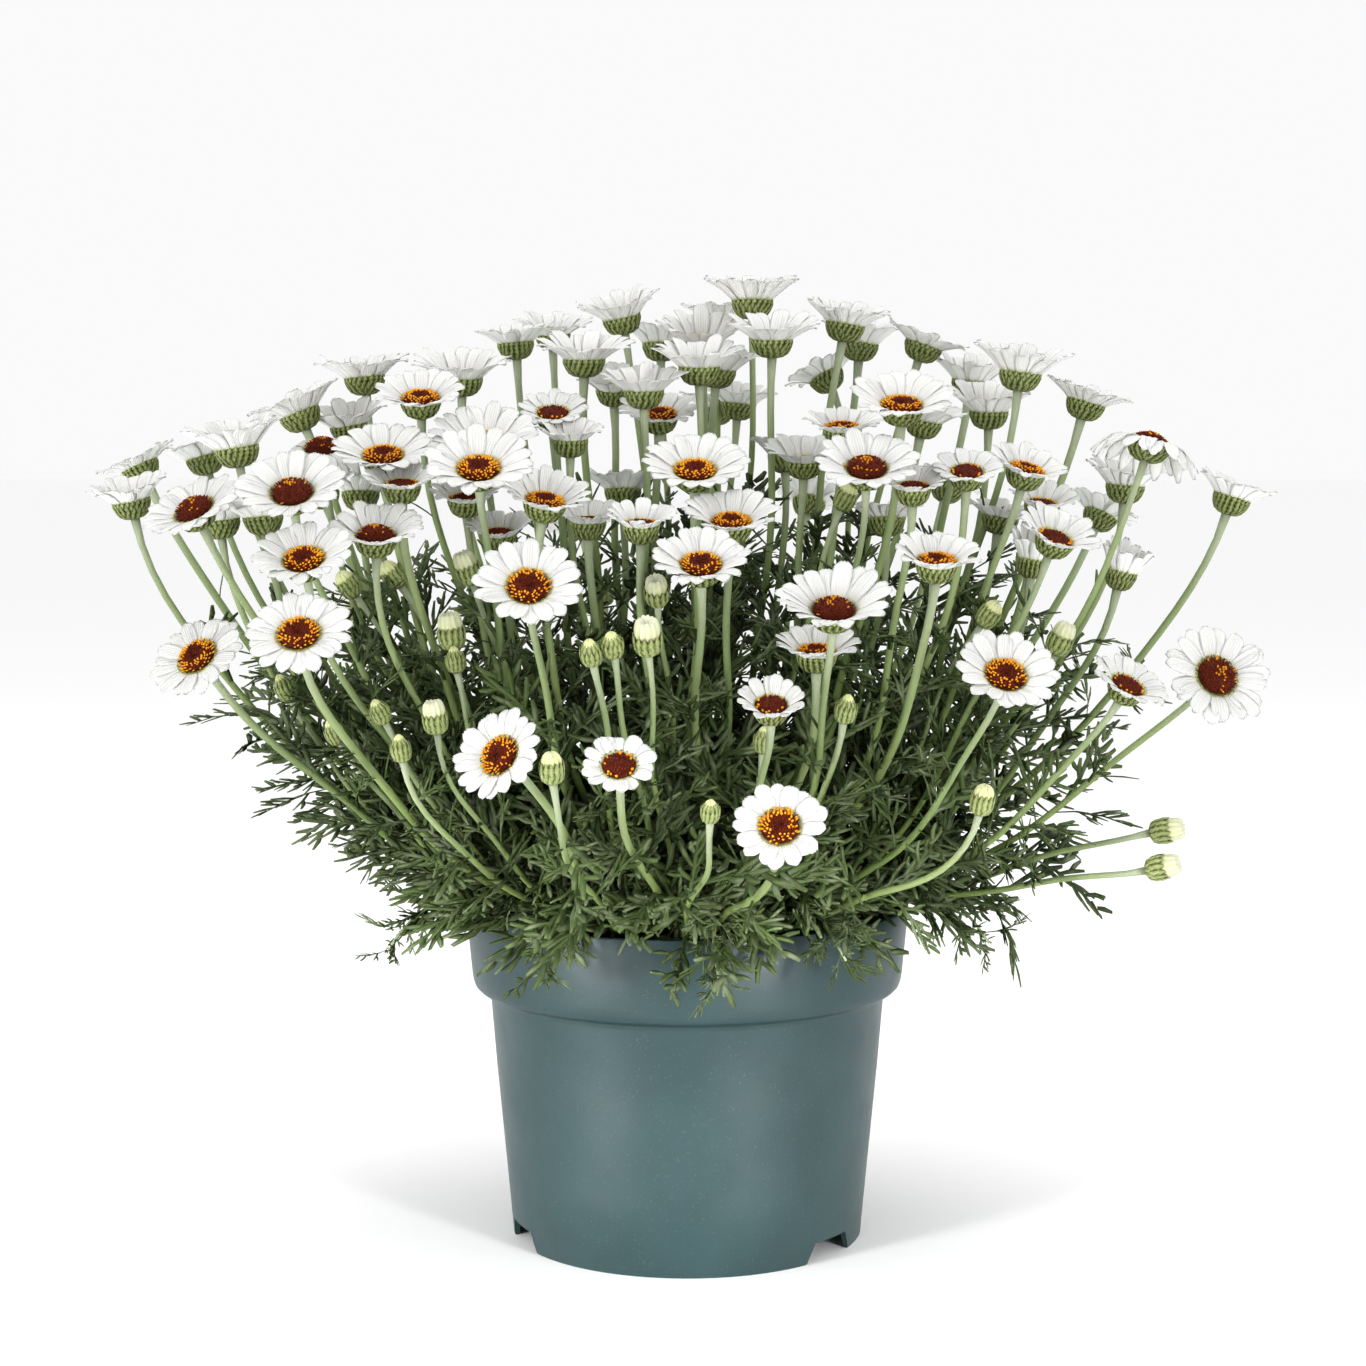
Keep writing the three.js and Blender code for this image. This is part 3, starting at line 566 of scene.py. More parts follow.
def ray_rings(number, lean, span, state, lit_side):
    """The rays of a flower. Those on its lit side open flatter."""
    count = ray_count(span, state)
    radius = span / 2
    start = RAY_ROOT_SHARE * cup_radius(span)
    angle = (np.arange(count) + rng.normal(0, 0.16, count)) / count * TURN
    reach = radius * rng.uniform(0.95, 1.08, count)
    lift = ray_lift(number, lean, span, state) * rng.uniform(0.88, 1.1, count)
    lift *= 1 - LIT_SIDE_DROP * max(0, 1 - lean / LIT_SIDE_LEAN) * np.cos(angle - lit_side)
    width = RAY_WIDTH * TURN * radius / count * rng.uniform(0.88, 1.1, count)
    layer = np.where(np.arange(count) % 2, RAY_LAYER, -RAY_LAYER) + rng.uniform(-0.08, 0.08, count)
    twist = rng.normal(0.06, 0.09, count)
    droop = rng.normal(0.03, 0.05, count)
    cupped = each(rng.normal(0.07, 0.05, count))
    tone = each(rng.random(count))

    rows = RAY_ROWS[:, None]
    across = RAY_ACROSS
    along = rows - RAY_TEETH * np.clip((rows - 0.8) / 0.2, 0, 1)
    away = start + (each(reach) - start) * along
    height = 0.2 + each(lift) * ray_profile(along, state)
    height = height - each(droop) * radius * np.clip(along - 0.6, 0, 1) ** 2 * 5
    height = height + each(layer) * np.clip(along * 3, 0, 1)
    rise, run = (np.gradient(part[:, :, RAY_MIDDLE], axis=1) for part in (height, away))
    tilt = np.arctan(rise / run)[:, :, None]

    half = each(width) / 2 * RAY_WIDTHS[:, None]
    thick = RAY_THICKNESS * (1 - across**2) ** 0.5 * RAY_SIDE
    camber = cupped * half * (across**2 - 0.4)
    if state == "opening":
        camber = camber + 0.25 * half * (across**2 - 0.4)
    normal = thick + camber + RAY_GROOVES * np.clip(along * 2.5, 0, 1) * 1.2
    roll = each(twist) * along
    aside = half * across * np.cos(roll) - normal * np.sin(roll)
    lifted = normal * np.cos(roll) + half * across * np.sin(roll)
    points = spun(away - lifted * np.sin(tilt), aside, height + lifted * np.cos(tilt), each(angle))
    # under marks the underside of each ray, which the ray material paints far lighter than the upper
    # face as painted light.
    under = (1 - RAY_SIDE * (1 - across**2) ** 0.3) / 2
    return points, {"along": along, "across": across, "under": under, "tone": tone}


def disc_height(share, state):
    """The height of a disc at a share of its radius."""
    if state in ("dome", "faded"):
        return 0.9 + 4.4 * np.clip(1 - share**2, 0, 1) ** 0.7
    if state == "ring":
        return 0.9 + 2.0 * np.sin(math.pi * np.clip(share, 0, 1) ** 1.4) ** 0.8
    return 0.8 + 1.1 * np.clip(1 - share**2, 0, 1)


def disc_ripeness(share, state):
    """Which florets of a disc are open and orange: 1, or closed and dark: 0."""
    chance = rng.random(len(share))
    if state == "ring":
        return np.where(share < 0.56, 0, chance < 0.35 + 0.5 * share).astype(float)
    if state == "dome":
        return 0.75 * (chance < 0.05 + 0.7 * np.clip(1 - 2.2 * share, 0, 1))
    if state == "faded":
        return (chance < 0.1).astype(float)
    return np.where(share < 0.8, 0, chance < 0.4).astype(float)


def add_disc(shape, place_on, span, state):
    """A low dome under a spiral of florets. Open florets are taller and wider at their mouth."""
    radius = DISC_SHARE * cup_radius(span)
    if state == "opening":
        radius *= OPENING_DISC
    share = np.array([0.92, 1.0, 0.8, 0.6, 0.4, 0.2, 0.03])
    heights = disc_height(share, state)
    heights[0] = -0.2
    base = turned(np.stack([share * radius, heights - 0.15], axis=1), 14)
    shape.loft(place_on(base), ripe=0.0, mouth=0.0, tone=0.3)

    count = 165 if span > MIDDLE_SPAN else 120 if span > SMALL_SPAN else 84
    order = np.arange(count)
    share = 0.98 * np.sqrt((order + 0.5) / count)
    turn = order * GOLDEN_TURN + rng.normal(0, 0.05, count)
    ripe = disc_ripeness(share, state)
    size = 0.86 * radius / math.sqrt(count) * rng.uniform(0.85, 1.15, count)
    tall = np.where(ripe > 0, 1.25, 0.75) * size * rng.uniform(0.7, 1.3, count)
    foot = disc_height(share, state) - 0.3
    rise = disc_height(np.clip(share + 0.05, 0, 1.05), state) - disc_height(share - 0.05, state)
    slope = rise / (0.1 * radius)
    angle = np.arange(FLORET_SIDES) / FLORET_SIDES * TURN
    wide = np.stack([np.full(count, 0.95), np.where(ripe > 0, 0.85, 0.5)], axis=1)
    ring = (wide * size[:, None])[:, :, None]
    up = np.stack([np.zeros(count), tall + 0.3], axis=1)[:, :, None]
    out = each(share * radius) + (ring * np.cos(angle) - each(slope) * up)
    florets = spun(out, ring * np.sin(angle), each(foot) + up, each(turn))
    mouth = np.array([[0.0], [1.0]])
    tone = each(rng.random(count))
    shape.loft(place_on(florets), caps=(False, True), ripe=each(ripe), mouth=mouth, tone=tone)


def sized(profile, radius, length):
    return [(r * radius, h * length) for r, h in profile]


def scales(levels, count, half_width, thickness):
    """A ring of pointed scales that lie on a turned form: levels are (radius, height) pairs."""
    levels = np.asarray(levels, dtype=float)
    angle = (np.arange(count) + rng.uniform(-0.08, 0.08, count)) / count * TURN
    share = np.linspace(0, 1, len(levels))
    half = half_width * np.sin(math.pi * (0.16 + 0.8 * share)) ** 0.8
    rise = unit(np.gradient(levels, axis=0))
    outward = np.stack([rise[:, 1], -rise[:, 0]], axis=1)
    side = np.array([1.0, 0.0, -1.0])
    front = np.array([0.0, 1.0, 0.0])
    out = levels[:, :1] + outward[:, :1] * front * thickness
    up = levels[:, 1:] + outward[:, 1:] * front * thickness
    return spun(out, half[:, None] * side, up, each(angle)), np.abs(side), share[:, None]


def add_scales(shape, place_on, rows, radius, length, size, thickness):
    """Rings of scales for rows of (levels, count, half width, paleness)."""
    for levels, count, half_width, pale in rows:
        levels = sized(levels, radius, length)
        points, edge, tip = scales(levels, count, half_width * size, thickness)
        tone = each(rng.random(count))
        shape.loft(place_on(points), edge=edge, tip=tip, tone=tone, pale=pale)


# Cups and buds: profiles of (radius, height) and rings of scales, as shares of their sizes
CUP_PROFILE = [(0.52, -0.94), (0.77, -0.7), (0.92, -0.34)]
CUP_SCALES = [
    ([(0.3, -1.03), (0.52, -0.98), (0.73, -0.81)], 12, 1.35, 0.0),
    ([(0.52, -0.96), (0.76, -0.8), (0.89, -0.55)], 15, 1.5, 0.0),
    ([(0.72, -0.78), (0.89, -0.55), (0.98, -0.28)], 18, 1.5, 0.05),
    ([(0.85, -0.52), (0.98, -0.28), (1.04, -0.02)], 20, 1.45, 0.15),
    ([(0.93, -0.24), (1.02, -0.04), (1.03, 0.2)], 21, 1.3, 1.0),
]
CUP_SCALES_RADIUS = 7.8
BUD_BODY = [(0.25, -0.5), (0.72, -0.42), (0.98, -0.2), (1.0, 0.0), (0.82, 0.22), (0.55, 0.42)]
BUD_SCALES = [
    ([(0.45, -0.48), (0.86, -0.37), (1.0, -0.18)], 11),
    ([(0.8, -0.38), (1.0, -0.18), (1.03, 0.04)], 13),
    ([(1.0, -0.16), (1.04, 0.02), (0.95, 0.24)], 13),
    ([(0.97, 0.04), (0.84, 0.2), (0.6, 0.34), (0.25, 0.45)], 10),
]
OPEN_BODY = [(0.25, -0.5), (0.68, -0.43), (0.92, -0.26), (0.96, -0.08), (0.8, 0.06), (0.4, 0.1)]
OPEN_SCALES = [
    ([(0.4, -0.49), (0.8, -0.41), (0.97, -0.27)], 11),
    ([(0.76, -0.41), (0.97, -0.26), (1.02, -0.1)], 13),
    ([(0.95, -0.26), (1.04, -0.07), (0.97, 0.13)], 13),
]
CLOSED_RAYS = [(0.5, 0.2), (0.62, 0.32), (0.5, 0.45), (0.26, 0.54), (0.05, 0.57)]
PARTING_RAYS = [(0.8, 0.0), (0.9, 0.14), (0.86, 0.28), (0.7, 0.4), (0.42, 0.49), (0.1, 0.52)]
OPEN_RAYS = [
    (0.7, -0.06), (0.88, 0.04), (0.93, 0.16), (0.9, 0.3), (0.8, 0.42), (0.64, 0.5), (0.4, 0.45),
    (0.1, 0.34),
]


def add_cup(shape, place_on, span):
    """The cup under a flower, from its neck up to its rim, in five rings of scales."""
    rim = cup_radius(span)
    neck = [(NECK_RADIUS * 0.9, -CUP_DEPTH - 0.6), (NECK_RADIUS * 1.4, -CUP_DEPTH)]
    side = sized(CUP_PROFILE, rim, CUP_DEPTH)
    profile = [*neck, *side, (0.97 * rim, 0.1), (0.8 * rim, 0.3)]
    shape.loft(place_on(turned(profile, 18)), edge=0.9, tip=0.5, tone=0.5, pale=0.0)
    size = rim / CUP_SCALES_RADIUS
    add_scales(shape, place_on, CUP_SCALES, rim, CUP_DEPTH, size, CUP_SCALE_THICKNESS)


def bud_axis(number, at):
    """Buds lean away from the middle of the plant, the low ones most."""
    away = math.degrees(math.atan2(at[1], at[0]))
    hang = LOW_BUD_LEAN if at[2] < LOW_BUD_HEIGHT else 0
    return leaning(BUD_LEAN + BUD_LEAN_SPREAD * draw(number, 5) + hang, away)


def bud_stage(length):
    """A bud's body, rings of scales and folded rays, and how white the rays are."""
    if length > PARTING_BUD_LENGTH:
        return OPEN_BODY, OPEN_SCALES, OPEN_RAYS, (0.065, 0.155)
    if length == PARTING_BUD_LENGTH:
        return BUD_BODY, BUD_SCALES[:3], PARTING_RAYS, (0.03, 0.09)
    return BUD_BODY, BUD_SCALES, CLOSED_RAYS, (0.02, 0.06)


def add_bud(cups, rays, place_on, length):
    """A bud. Its rays are folded together, in one form with a groove between each two."""
    belly = BUD_LEAST_RADIUS + BUD_RADIUS_PER_LENGTH * length
    body, rows, folded, along = bud_stage(length)
    rows = [(levels, count, BUD_SCALE_HALF_WIDTH, 1.0) for levels, count in rows]
    body = turned(sized(body, 0.94 * belly, length), 14)
    cups.loft(place_on(body), edge=0.3, tip=0.4, tone=0.5, pale=1.0)
    add_scales(cups, place_on, rows, belly, length, belly, BUD_SCALE_THICKNESS)

    rings = turned(sized(folded, belly, length), 3 * FOLDED_RAYS)
    groove = np.tile([1.0, 0.0, 0.0], FOLDED_RAYS)
    ragged = np.repeat(np.sin(np.arange(FOLDED_RAYS) * 2.4), 3)
    share = np.linspace(0, 1, len(folded))[:, None] ** 2
    rings[..., :2] *= (1 - FOLD_DEPTH * groove)[:, None]
    rings[..., 2] += (0.03 * ragged - 0.05 * groove) * length * share
    along = np.linspace(*along, len(folded))[:, None] - 0.07 * groove
    rays.loft(place_on(rings), along=along, across=0.0, under=0.0, tone=0.5)


# Leaves


def blade(base, direction, normal, length, half_width, bend, rows):
    """One flat lobe: three-cornered rings that narrow to a blunt tip."""
    share = np.linspace(0, 1, rows)[:, None]
    direction = unit(direction)
    side = unit(np.cross(normal, direction))
    normal = np.cross(direction, side)
    bent = (side * bend[0] + normal * bend[1]) * length * share**2
    spine = base + direction * length * share + bent
    narrowing = np.interp(share[:, 0], [0, 0.5, 0.85, 1], [0.7, 1.0, 0.95, 0.55])
    width = half_width * each(narrowing)
    ring = np.stack([side, normal, -side])[None]
    return spine[:, None] + ring * np.concatenate([width, width * LEAF_DEPTH, width], axis=1)


def leaf_variant(seed):
    """A finely cut leaf of length 1 along +X, with +Z as its upper face."""
    local = np.random.default_rng(seed)
    forward = np.array([1.0, 0.0, 0.0])
    rib = blade(np.zeros(3), forward, UP, 1.0, RIB_HALF_WIDTH, (0.06 * local.normal(), 0), 4)
    lobes = []
    for i, share in enumerate(np.linspace(0.32, 0.86, LOBE_PAIRS)):
        for hand in (1, -1):
            at = share + 0.03 * hand + local.normal(0, 0.015)
            angle = math.radians(local.uniform(28, 48))
            fold = local.normal(0.1, 0.3)
            direction = np.array([math.cos(angle), hand * math.sin(angle), fold])
            length = np.interp(at, [0.25, 0.5, 0.95], [0.26, 0.36, 0.2]) * local.uniform(0.8, 1.15)
            base = at * forward
            bend = (-hand * 0.22, 0.1)
            lobes.append(blade(base, direction, UP, length, LOBE_HALF_WIDTH, bend, 3))
            if i < LOBE_PAIRS - 1 and local.random() < FORK_CHANCE:
                fork = base + unit(direction) * length * 0.45
                angle += math.radians(local.choice([-34, 38]))
                direction = np.array([math.cos(angle), hand * math.sin(angle), fold])
                lobes.append(blade(fork, direction, UP, length * 0.6, FORK_HALF_WIDTH, bend, 3))
    return rib[None], np.stack(lobes)


LEAF_VARIANTS = [leaf_variant(seed) for seed in range(7)]


def is_clear_of_pot(points):
    """Whether a leaf stays out of the soil and off the wall of the pot."""
    radius = np.hypot(points[..., 0], points[..., 1])
    height = points[..., 2]
    low = height < POT_HEIGHT + POT_CLEARANCE
    inside = radius < RIM_FOOT_RADIUS
    in_wall = np.any(low & (radius > RIM_FOOT_RADIUS - 4) & (radius < RIM_TOP_RADIUS + 2))
    through = np.any(low & inside) and np.any(low & ~inside)
    in_soil = np.any(inside & (height < SOIL_EDGE_HEIGHT + SOIL_CLEARANCE))
    return not (in_wall or through or in_soil)


def grow_leaf(shape, root, along, away, pitch_angle, length, number):
    """A leaf that leaves its stalk at an angle and arches over."""
    rib, lobes = LEAF_VARIANTS[number % len(LEAF_VARIANTS)]
    direction = unit(between(along, away, pitch_angle))
    face = unit(between(-away, along, pitch_angle))
    side = np.cross(face, direction)
    roll = 0.5 * (draw(number, 31) - 0.5)
    side, face = between(side, face, roll), between(face, -side, roll)
    arch = 0.1 + 0.3 * draw(number, 32)
    width = 1.0 + 0.35 * draw(number, 33)

    def laid(local):
        x, y, z = local[..., :1], local[..., 1:2] * width, local[..., 2:]
        return root + length * (direction * x + side * y + face * (z - arch * x**2))

    lobes = laid(lobes)
    if not is_clear_of_pot(lobes):
        return False
    # The rim values mark the edge points of each lobe, which get the leaf's painted sheen.
    for rings in (laid(rib), lobes):
        add_blades(shape, rings, draw(number, 34), [1.0, 0.0, 1.0])
    return True


def add_blades(shape, rings, tone, rim):
    tip = np.linspace(0, 1, rings.shape[1])[:, None]
    shape.loft(rings, caps=(False, True), tone=tone, tip=tip, rim=rim)


def grow_leaves(shape, path, number, from_share, to_share, count, lengths):
    """A spiral of leaves up a stalk. One that would cross the pot is turned until it's clear."""
    along, across, other = frames_along(path)
    for i in range(count):
        seed = number * 41 + i
        step = ((i + draw(seed, 40)) / count) ** LEAF_CROWDING
        share = from_share + (to_share - from_share) * step
        at = share * (len(path) - 1)
        k = min(int(at), len(path) - 2)
        root = path[k] + (path[k + 1] - path[k]) * (at - k)
        length = lengths[0] + (lengths[1] - lengths[0]) * draw(seed, 41)
        length *= 1 - LEAF_TAPER * share
        for leaf in range(seed, seed + LEAF_TRIES):
            turn = (seed + (leaf - seed) * 3) * GOLDEN_TURN
            away = between(across[k], other[k], turn)
            pitch_angle = math.radians(24 + 34 * draw(leaf, 42))
            if grow_leaf(shape, root, along[k], away, pitch_angle, length, leaf):
                break


def grow_bract_leaves(shape, path, number):
    """Two plain narrow leaves high on a stalk."""
    along, across, other = frames_along(path)
    for i in range(2):
        seed = number * 17 + i
        k = int((0.56 + 0.26 * draw(seed, 51)) * (len(path) - 1))
        turn = TURN * draw(seed, 52)
        away = between(across[k], other[k], turn)
        direction = unit(along[k] + away * 0.7)
        length = 7 + 11 * draw(seed, 53)
        rings = blade(path[k], direction, -away, length, BRACT_HALF_WIDTH, (0.1, -0.15), 4)[None]
        # Bract leaves carry 0.3 of the painted edge sheen on all their points.
        add_blades(shape, rings, draw(seed, 54), 0.3)


# Materials

# The values that the points of a branch hold for each material
VALUES = {
    "stalk": ["along", "tone"],
    # Of the leaf values, rim marks the edges of each lobe, which the leaf material paints lighter as a
    # painted sheen.
    "leaf": ["tone", "tip", "rim"],
    "cup": ["edge", "tip", "tone", "pale"],
    # Of the ray values, under picks the underside, which the ray material paints lighter as painted
    # light.
    "ray": ["along", "across", "under", "tone"],
    "disc": ["ripe", "mouth", "tone"],
}


class Finish:
    """A procedural material: each call adds a node and gives its output."""

    def __init__(self, name):
        self.material = bpy.data.materials.new(name)
        self.material.use_nodes = True
        self.tree = self.material.node_tree
        self.shader = self.tree.nodes["Principled BSDF"]
        self.place = self.node("TexCoord").outputs["Object"]
        self.values = [self.value(held) for held in VALUES.get(name, [])]

    def link(self, value, socket):
        if isinstance(value, bpy.types.NodeSocket):
            self.tree.links.new(value, socket)
        else:
            socket.default_value = value

    def node(self, kind, **inputs):
        node = self.tree.nodes.new(f"ShaderNode{kind}")
        for name, value in inputs.items():
            self.link(value, node.inputs[name])
        return node

    def value(self, name):
        node = self.node("Attribute")
        node.attribute_name = name
        return node.outputs["Fac"]

    def noise(self, size, detail=3.0, stretch=(1, 1, 1)):
        """Noise whose lumps are about so many millimetres across."""
        place = self.node("Mapping", Vector=self.place, Scale=stretch).outputs["Vector"]
        node = self.node("TexNoise", Vector=place, Scale=1 / (size * MM), Detail=detail)
        return node.outputs["Fac"]

    def math(self, operation, *values):
        node = self.node("Math")
        node.operation = operation
        for value, socket in zip(values, node.inputs):
            self.link(value, socket)
        return node.outputs["Value"]

    def ramp(self, value, *stops):
        """A colour or grey that follows a value through (place, colour) stops."""
        node = self.node("ValToRGB", Fac=value)
        elements = node.color_ramp.elements
        while len(elements) < len(stops):
            elements.new(0.5)
        for element, (position, colour) in zip(elements, stops):
            element.position = position
            element.color = (*(colour if isinstance(colour, tuple) else [colour] * 3), 1)
        return node.outputs["Color"]

    def mix(self, share, first, second):
        """A colour between two, by a share from 0 to 1."""
        node = self.node("Mix")
        node.data_type = "RGBA"
        self.link(share, node.inputs[0])
        for value, socket in ((first, node.inputs[6]), (second, node.inputs[7])):
            self.link((*value, 1) if isinstance(value, tuple) else value, socket)
        return node.outputs[2]

    def bump(self, height, distance, strength):
        """Relief of so many millimetres."""
        node = self.node("Bump", Height=height, Distance=distance * MM, Strength=strength)
        self.link(node.outputs["Normal"], self.shader.inputs["Normal"])

    def set(self, **values):
        """Sets sockets of the shader, by their names in small letters, and gives the material."""
        for name, value in values.items():
            socket = name.replace("_", " ").title().replace("Ior", "IOR")
            self.link(value, self.shader.inputs[socket])
        return self.material


def ray_finish():
    f = Finish("ray")
    along, across, under, tone = f.values
    lines = f.math("SINE", f.math("MULTIPLY", across, 21.0))
    stripe = f.math("MULTIPLY_ADD", lines, 0.5, 0.5)
    # The underside is painted far lighter than the upper face: painted light that stands in for the
    # light that shines through and under the rays.
    upper = f.mix(f.math("MULTIPLY", stripe, tone), (0.68, 0.68, 0.665), (0.56, 0.565, 0.55))
    painted_lit_underside = f.mix(stripe, (0.93, 0.935, 0.915), (0.96, 0.96, 0.945))
    face = f.mix(under, upper, painted_lit_underside)
    root = f.ramp(along, (0.0, 1.0), (0.07, 0.6), (0.2, 0.0))
    colour = f.mix(root, face, (0.64, 0.67, 0.28))
    f.bump(f.math("ADD", lines, f.math("MULTIPLY", f.noise(1.2), 1.5)), 0.06, 0.8)
    return f.set(
        base_color=colour,
        roughness=f.ramp(f.noise(3.0), (0.3, 0.5), (0.7, 0.62)),
        subsurface_weight=0.3,
        subsurface_radius=(1.0, 1.0, 0.9),
        subsurface_scale=MM,
    )


def disc_finish():
    f = Finish("disc")
    ripe, mouth, tone = f.values
    dark = f.mix(tone, (0.06, 0.008, 0.003), (0.2, 0.03, 0.007))
    rust = f.mix(tone, (0.24, 0.04, 0.006), (0.42, 0.09, 0.008))
    orange = f.mix(tone, (0.72, 0.27, 0.01), (0.86, 0.46, 0.03))
    floret = f.mix(f.ramp(mouth, (0.25, 0.0), (0.8, 1.0)), rust, orange)
    colour = f.mix(ripe, dark, floret)
    f.bump(f.noise(0.5), 0.12, 0.6)
    return f.set(base_color=colour, roughness=0.62, specular_ior_level=0.2)


def cup_finish():
    f = Finish("cup")
    edge, tip, tone, pale = f.values
    green = f.mix(tone, (0.1, 0.128, 0.024), (0.18, 0.215, 0.05))
    lime = f.mix(tone, (0.22, 0.275, 0.08), (0.33, 0.385, 0.14))
    green = f.mix(pale, green, lime)
    ridge = f.ramp(f.math("ADD", edge, f.noise(0.9)), (0.5, 0.75), (1.0, 0.0))
    green = f.mix(ridge, green, (0.38, 0.4, 0.255))
    outline = f.math("SUBTRACT", edge, f.math("MULTIPLY", tip, 0.1))
    margin = f.ramp(outline, (0.72, 0.0), (0.98, 0.85))
    dark = f.mix(pale, (0.055, 0.065, 0.022), (0.12, 0.14, 0.05))
    colour = f.mix(margin, green, dark)
    f.bump(f.noise(0.35, 2.0), 0.15, 0.7)
    return f.set(base_color=colour, roughness=0.75, specular_ior_level=0.3)


def stalk_finish():
    f = Finish("stalk")
    along, tone = f.values
    green = f.mix(tone, (0.13, 0.2, 0.045), (0.235, 0.315, 0.09))
    pale = f.mix(f.ramp(along, (0.45, 0.0), (0.85, 0.35), (1.0, 1.0)), green, (0.43, 0.47, 0.35))
    streaks = f.noise(1.4, 3.0, (3.0, 3.0, 0.25))
    colour = f.mix(f.ramp(streaks, (0.35, 0.0), (0.75, 0.55)), pale, (0.27, 0.33, 0.17))
    f.bump(f.math("ADD", streaks, f.noise(0.3, 2.0)), 0.12, 0.6)
    return f.set(base_color=colour, roughness=0.7, specular_ior_level=0.3)


def leaf_finish():
    f = Finish("leaf")
    tone, tip, rim = f.values
    green = f.mix(tone, (0.012, 0.027, 0.005), (0.078, 0.122, 0.034))
    # The edges of each lobe, where rim is 1, are painted lighter: a painted sheen that stands in for
    # light caught along the edges.
    lit = f.mix(f.math("MULTIPLY", rim, 0.3), green, (0.14, 0.18, 0.08))
    bloom = f.ramp(f.noise(9.0), (0.48, 0.0), (0.72, 0.7))
    colour = f.mix(bloom, lit, (0.24, 0.28, 0.18))
    colour = f.mix(f.math("MULTIPLY", tip, 0.15), colour, (0.19, 0.23, 0.1))
    f.bump(f.noise(0.5, 2.0), 0.1, 0.6)
    return f.set(base_color=colour, roughness=0.6, specular_ior_level=0.3)


def pot_finish():
    f = Finish("pot")
    cloud = f.ramp(f.noise(38.0, 4.0), (0.3, 0.0), (0.7, 1.0))
    colour = f.mix(cloud, (0.018, 0.0395, 0.042), (0.024, 0.05, 0.053))
    speck = f.ramp(f.noise(0.9, 1.0), (0.66, 0.0), (0.74, 0.3))
    colour = f.mix(speck, colour, (0.09, 0.13, 0.135))
    grain = f.math("ADD", f.noise(0.7, 2.0), f.math("MULTIPLY", f.noise(5.0, 2.0), 0.7))
    f.bump(grain, 0.05, 0.5)
    return f.set(
        base_color=colour,
        roughness=f.ramp(f.noise(14.0, 3.0), (0.3, 0.36), (0.7, 0.43)),
        specular_ior_level=0.5,
    )


def soil_finish():
    f = Finish("soil")
    colour = f.ramp(
        f.noise(2.4, 5.0),
        (0.3, (0.008, 0.006, 0.004)),
        (0.55, (0.028, 0.018, 0.011)),
        (0.75, (0.07, 0.045, 0.026)),
    )
    f.bump(f.noise(1.6, 6.0), 1.2, 0.9)
    return f.set(base_color=colour, roughness=0.95)


# Pot: a turned shell, cut by the notches and the drain holes


def beside(radius, height, *offsets):
    """Points of a profile beside one of its corners: each offset is (outward, upward)."""
    return [(radius + out, height + up) for out, up in offsets]


def shell_rings():
    """From the floor out and down the skirt, up the wall and rim, and back down inside."""
    skirt_inside = BASE_RADIUS - POT_WALL
    wall_top = RIM_TOP_RADIUS - POT_WALL
    profile = [
        (0.01, FLOOR_HEIGHT),
        *beside(skirt_inside, FLOOR_HEIGHT, (-1, 0), (0, -1)),
        *beside(skirt_inside, 0, (0, 0.4), (0.4, 0)),
        *beside(BASE_RADIUS, 0, (-0.5, 0), (0, 0.6)),
        (BASE_RADIUS + BODY_SLOPE * BODY_STEP, BODY_STEP),
        (BODY_TOP_RADIUS - BODY_SLOPE * BODY_STEP, RIM_FOOT_HEIGHT - 34),
        *beside(BODY_TOP_RADIUS, RIM_FOOT_HEIGHT, (-0.2, -3.4), (0.4, -1.4), (1.8, -0.4)),
        *beside(RIM_FOOT_RADIUS, RIM_FOOT_HEIGHT, (-4.2, 0), (-2.4, 0.6), (-1, 2), (-0.3, 4), (0.2, 7)),
        *beside(RIM_TOP_RADIUS, POT_HEIGHT, (-0.15, -1.2), (-0.3, -0.4), (-0.8, 0)),
        *beside(wall_top, POT_HEIGHT, (0.7, 0), (0.15, -0.4), (0, -1.2)),
        (RIM_FOOT_RADIUS - POT_WALL, RIM_FOOT_HEIGHT + 7),
        (BODY_TOP_RADIUS - POT_WALL, RIM_FOOT_HEIGHT + 2),
        (skirt_inside + 1, FLOOR_HEIGHT + POT_WALL),
        (0.01, FLOOR_HEIGHT + POT_WALL),
    ]
    return turned(profile, POT_SIDES, TURN / POT_SIDES / 2)


def notch_rings(heading):
    """A prism that runs outward through the skirt, wider at its foot."""
    out = leaning(90, heading)
    side = np.cross(UP, out)
    foot, head = NOTCH_FOOT_WIDTH / 2, NOTCH_HEAD_WIDTH / 2
    outline = [(-foot, -1), (foot, -1), (head, NOTCH_HEIGHT), (-head, NOTCH_HEIGHT)]
    corners = np.array([side * x + UP * z for x, z in outline])
    return np.stack([corners + out * NOTCH_START, corners + out * NOTCH_END])[None]


def drain_rings(heading):
    """A plain rod through the floor."""
    rod = turned([(DRAIN_RADIUS, FLOOR_HEIGHT - 4), (DRAIN_RADIUS, FLOOR_HEIGHT + 6)], 32)
    return rod + leaning(90, heading) * DRAIN_CIRCLE


def helper(name, rings):
    """A passing object, in millimetres."""
    shape = Shape()
    shape.loft(rings)
    return link(name, shape.mesh(name, 1))


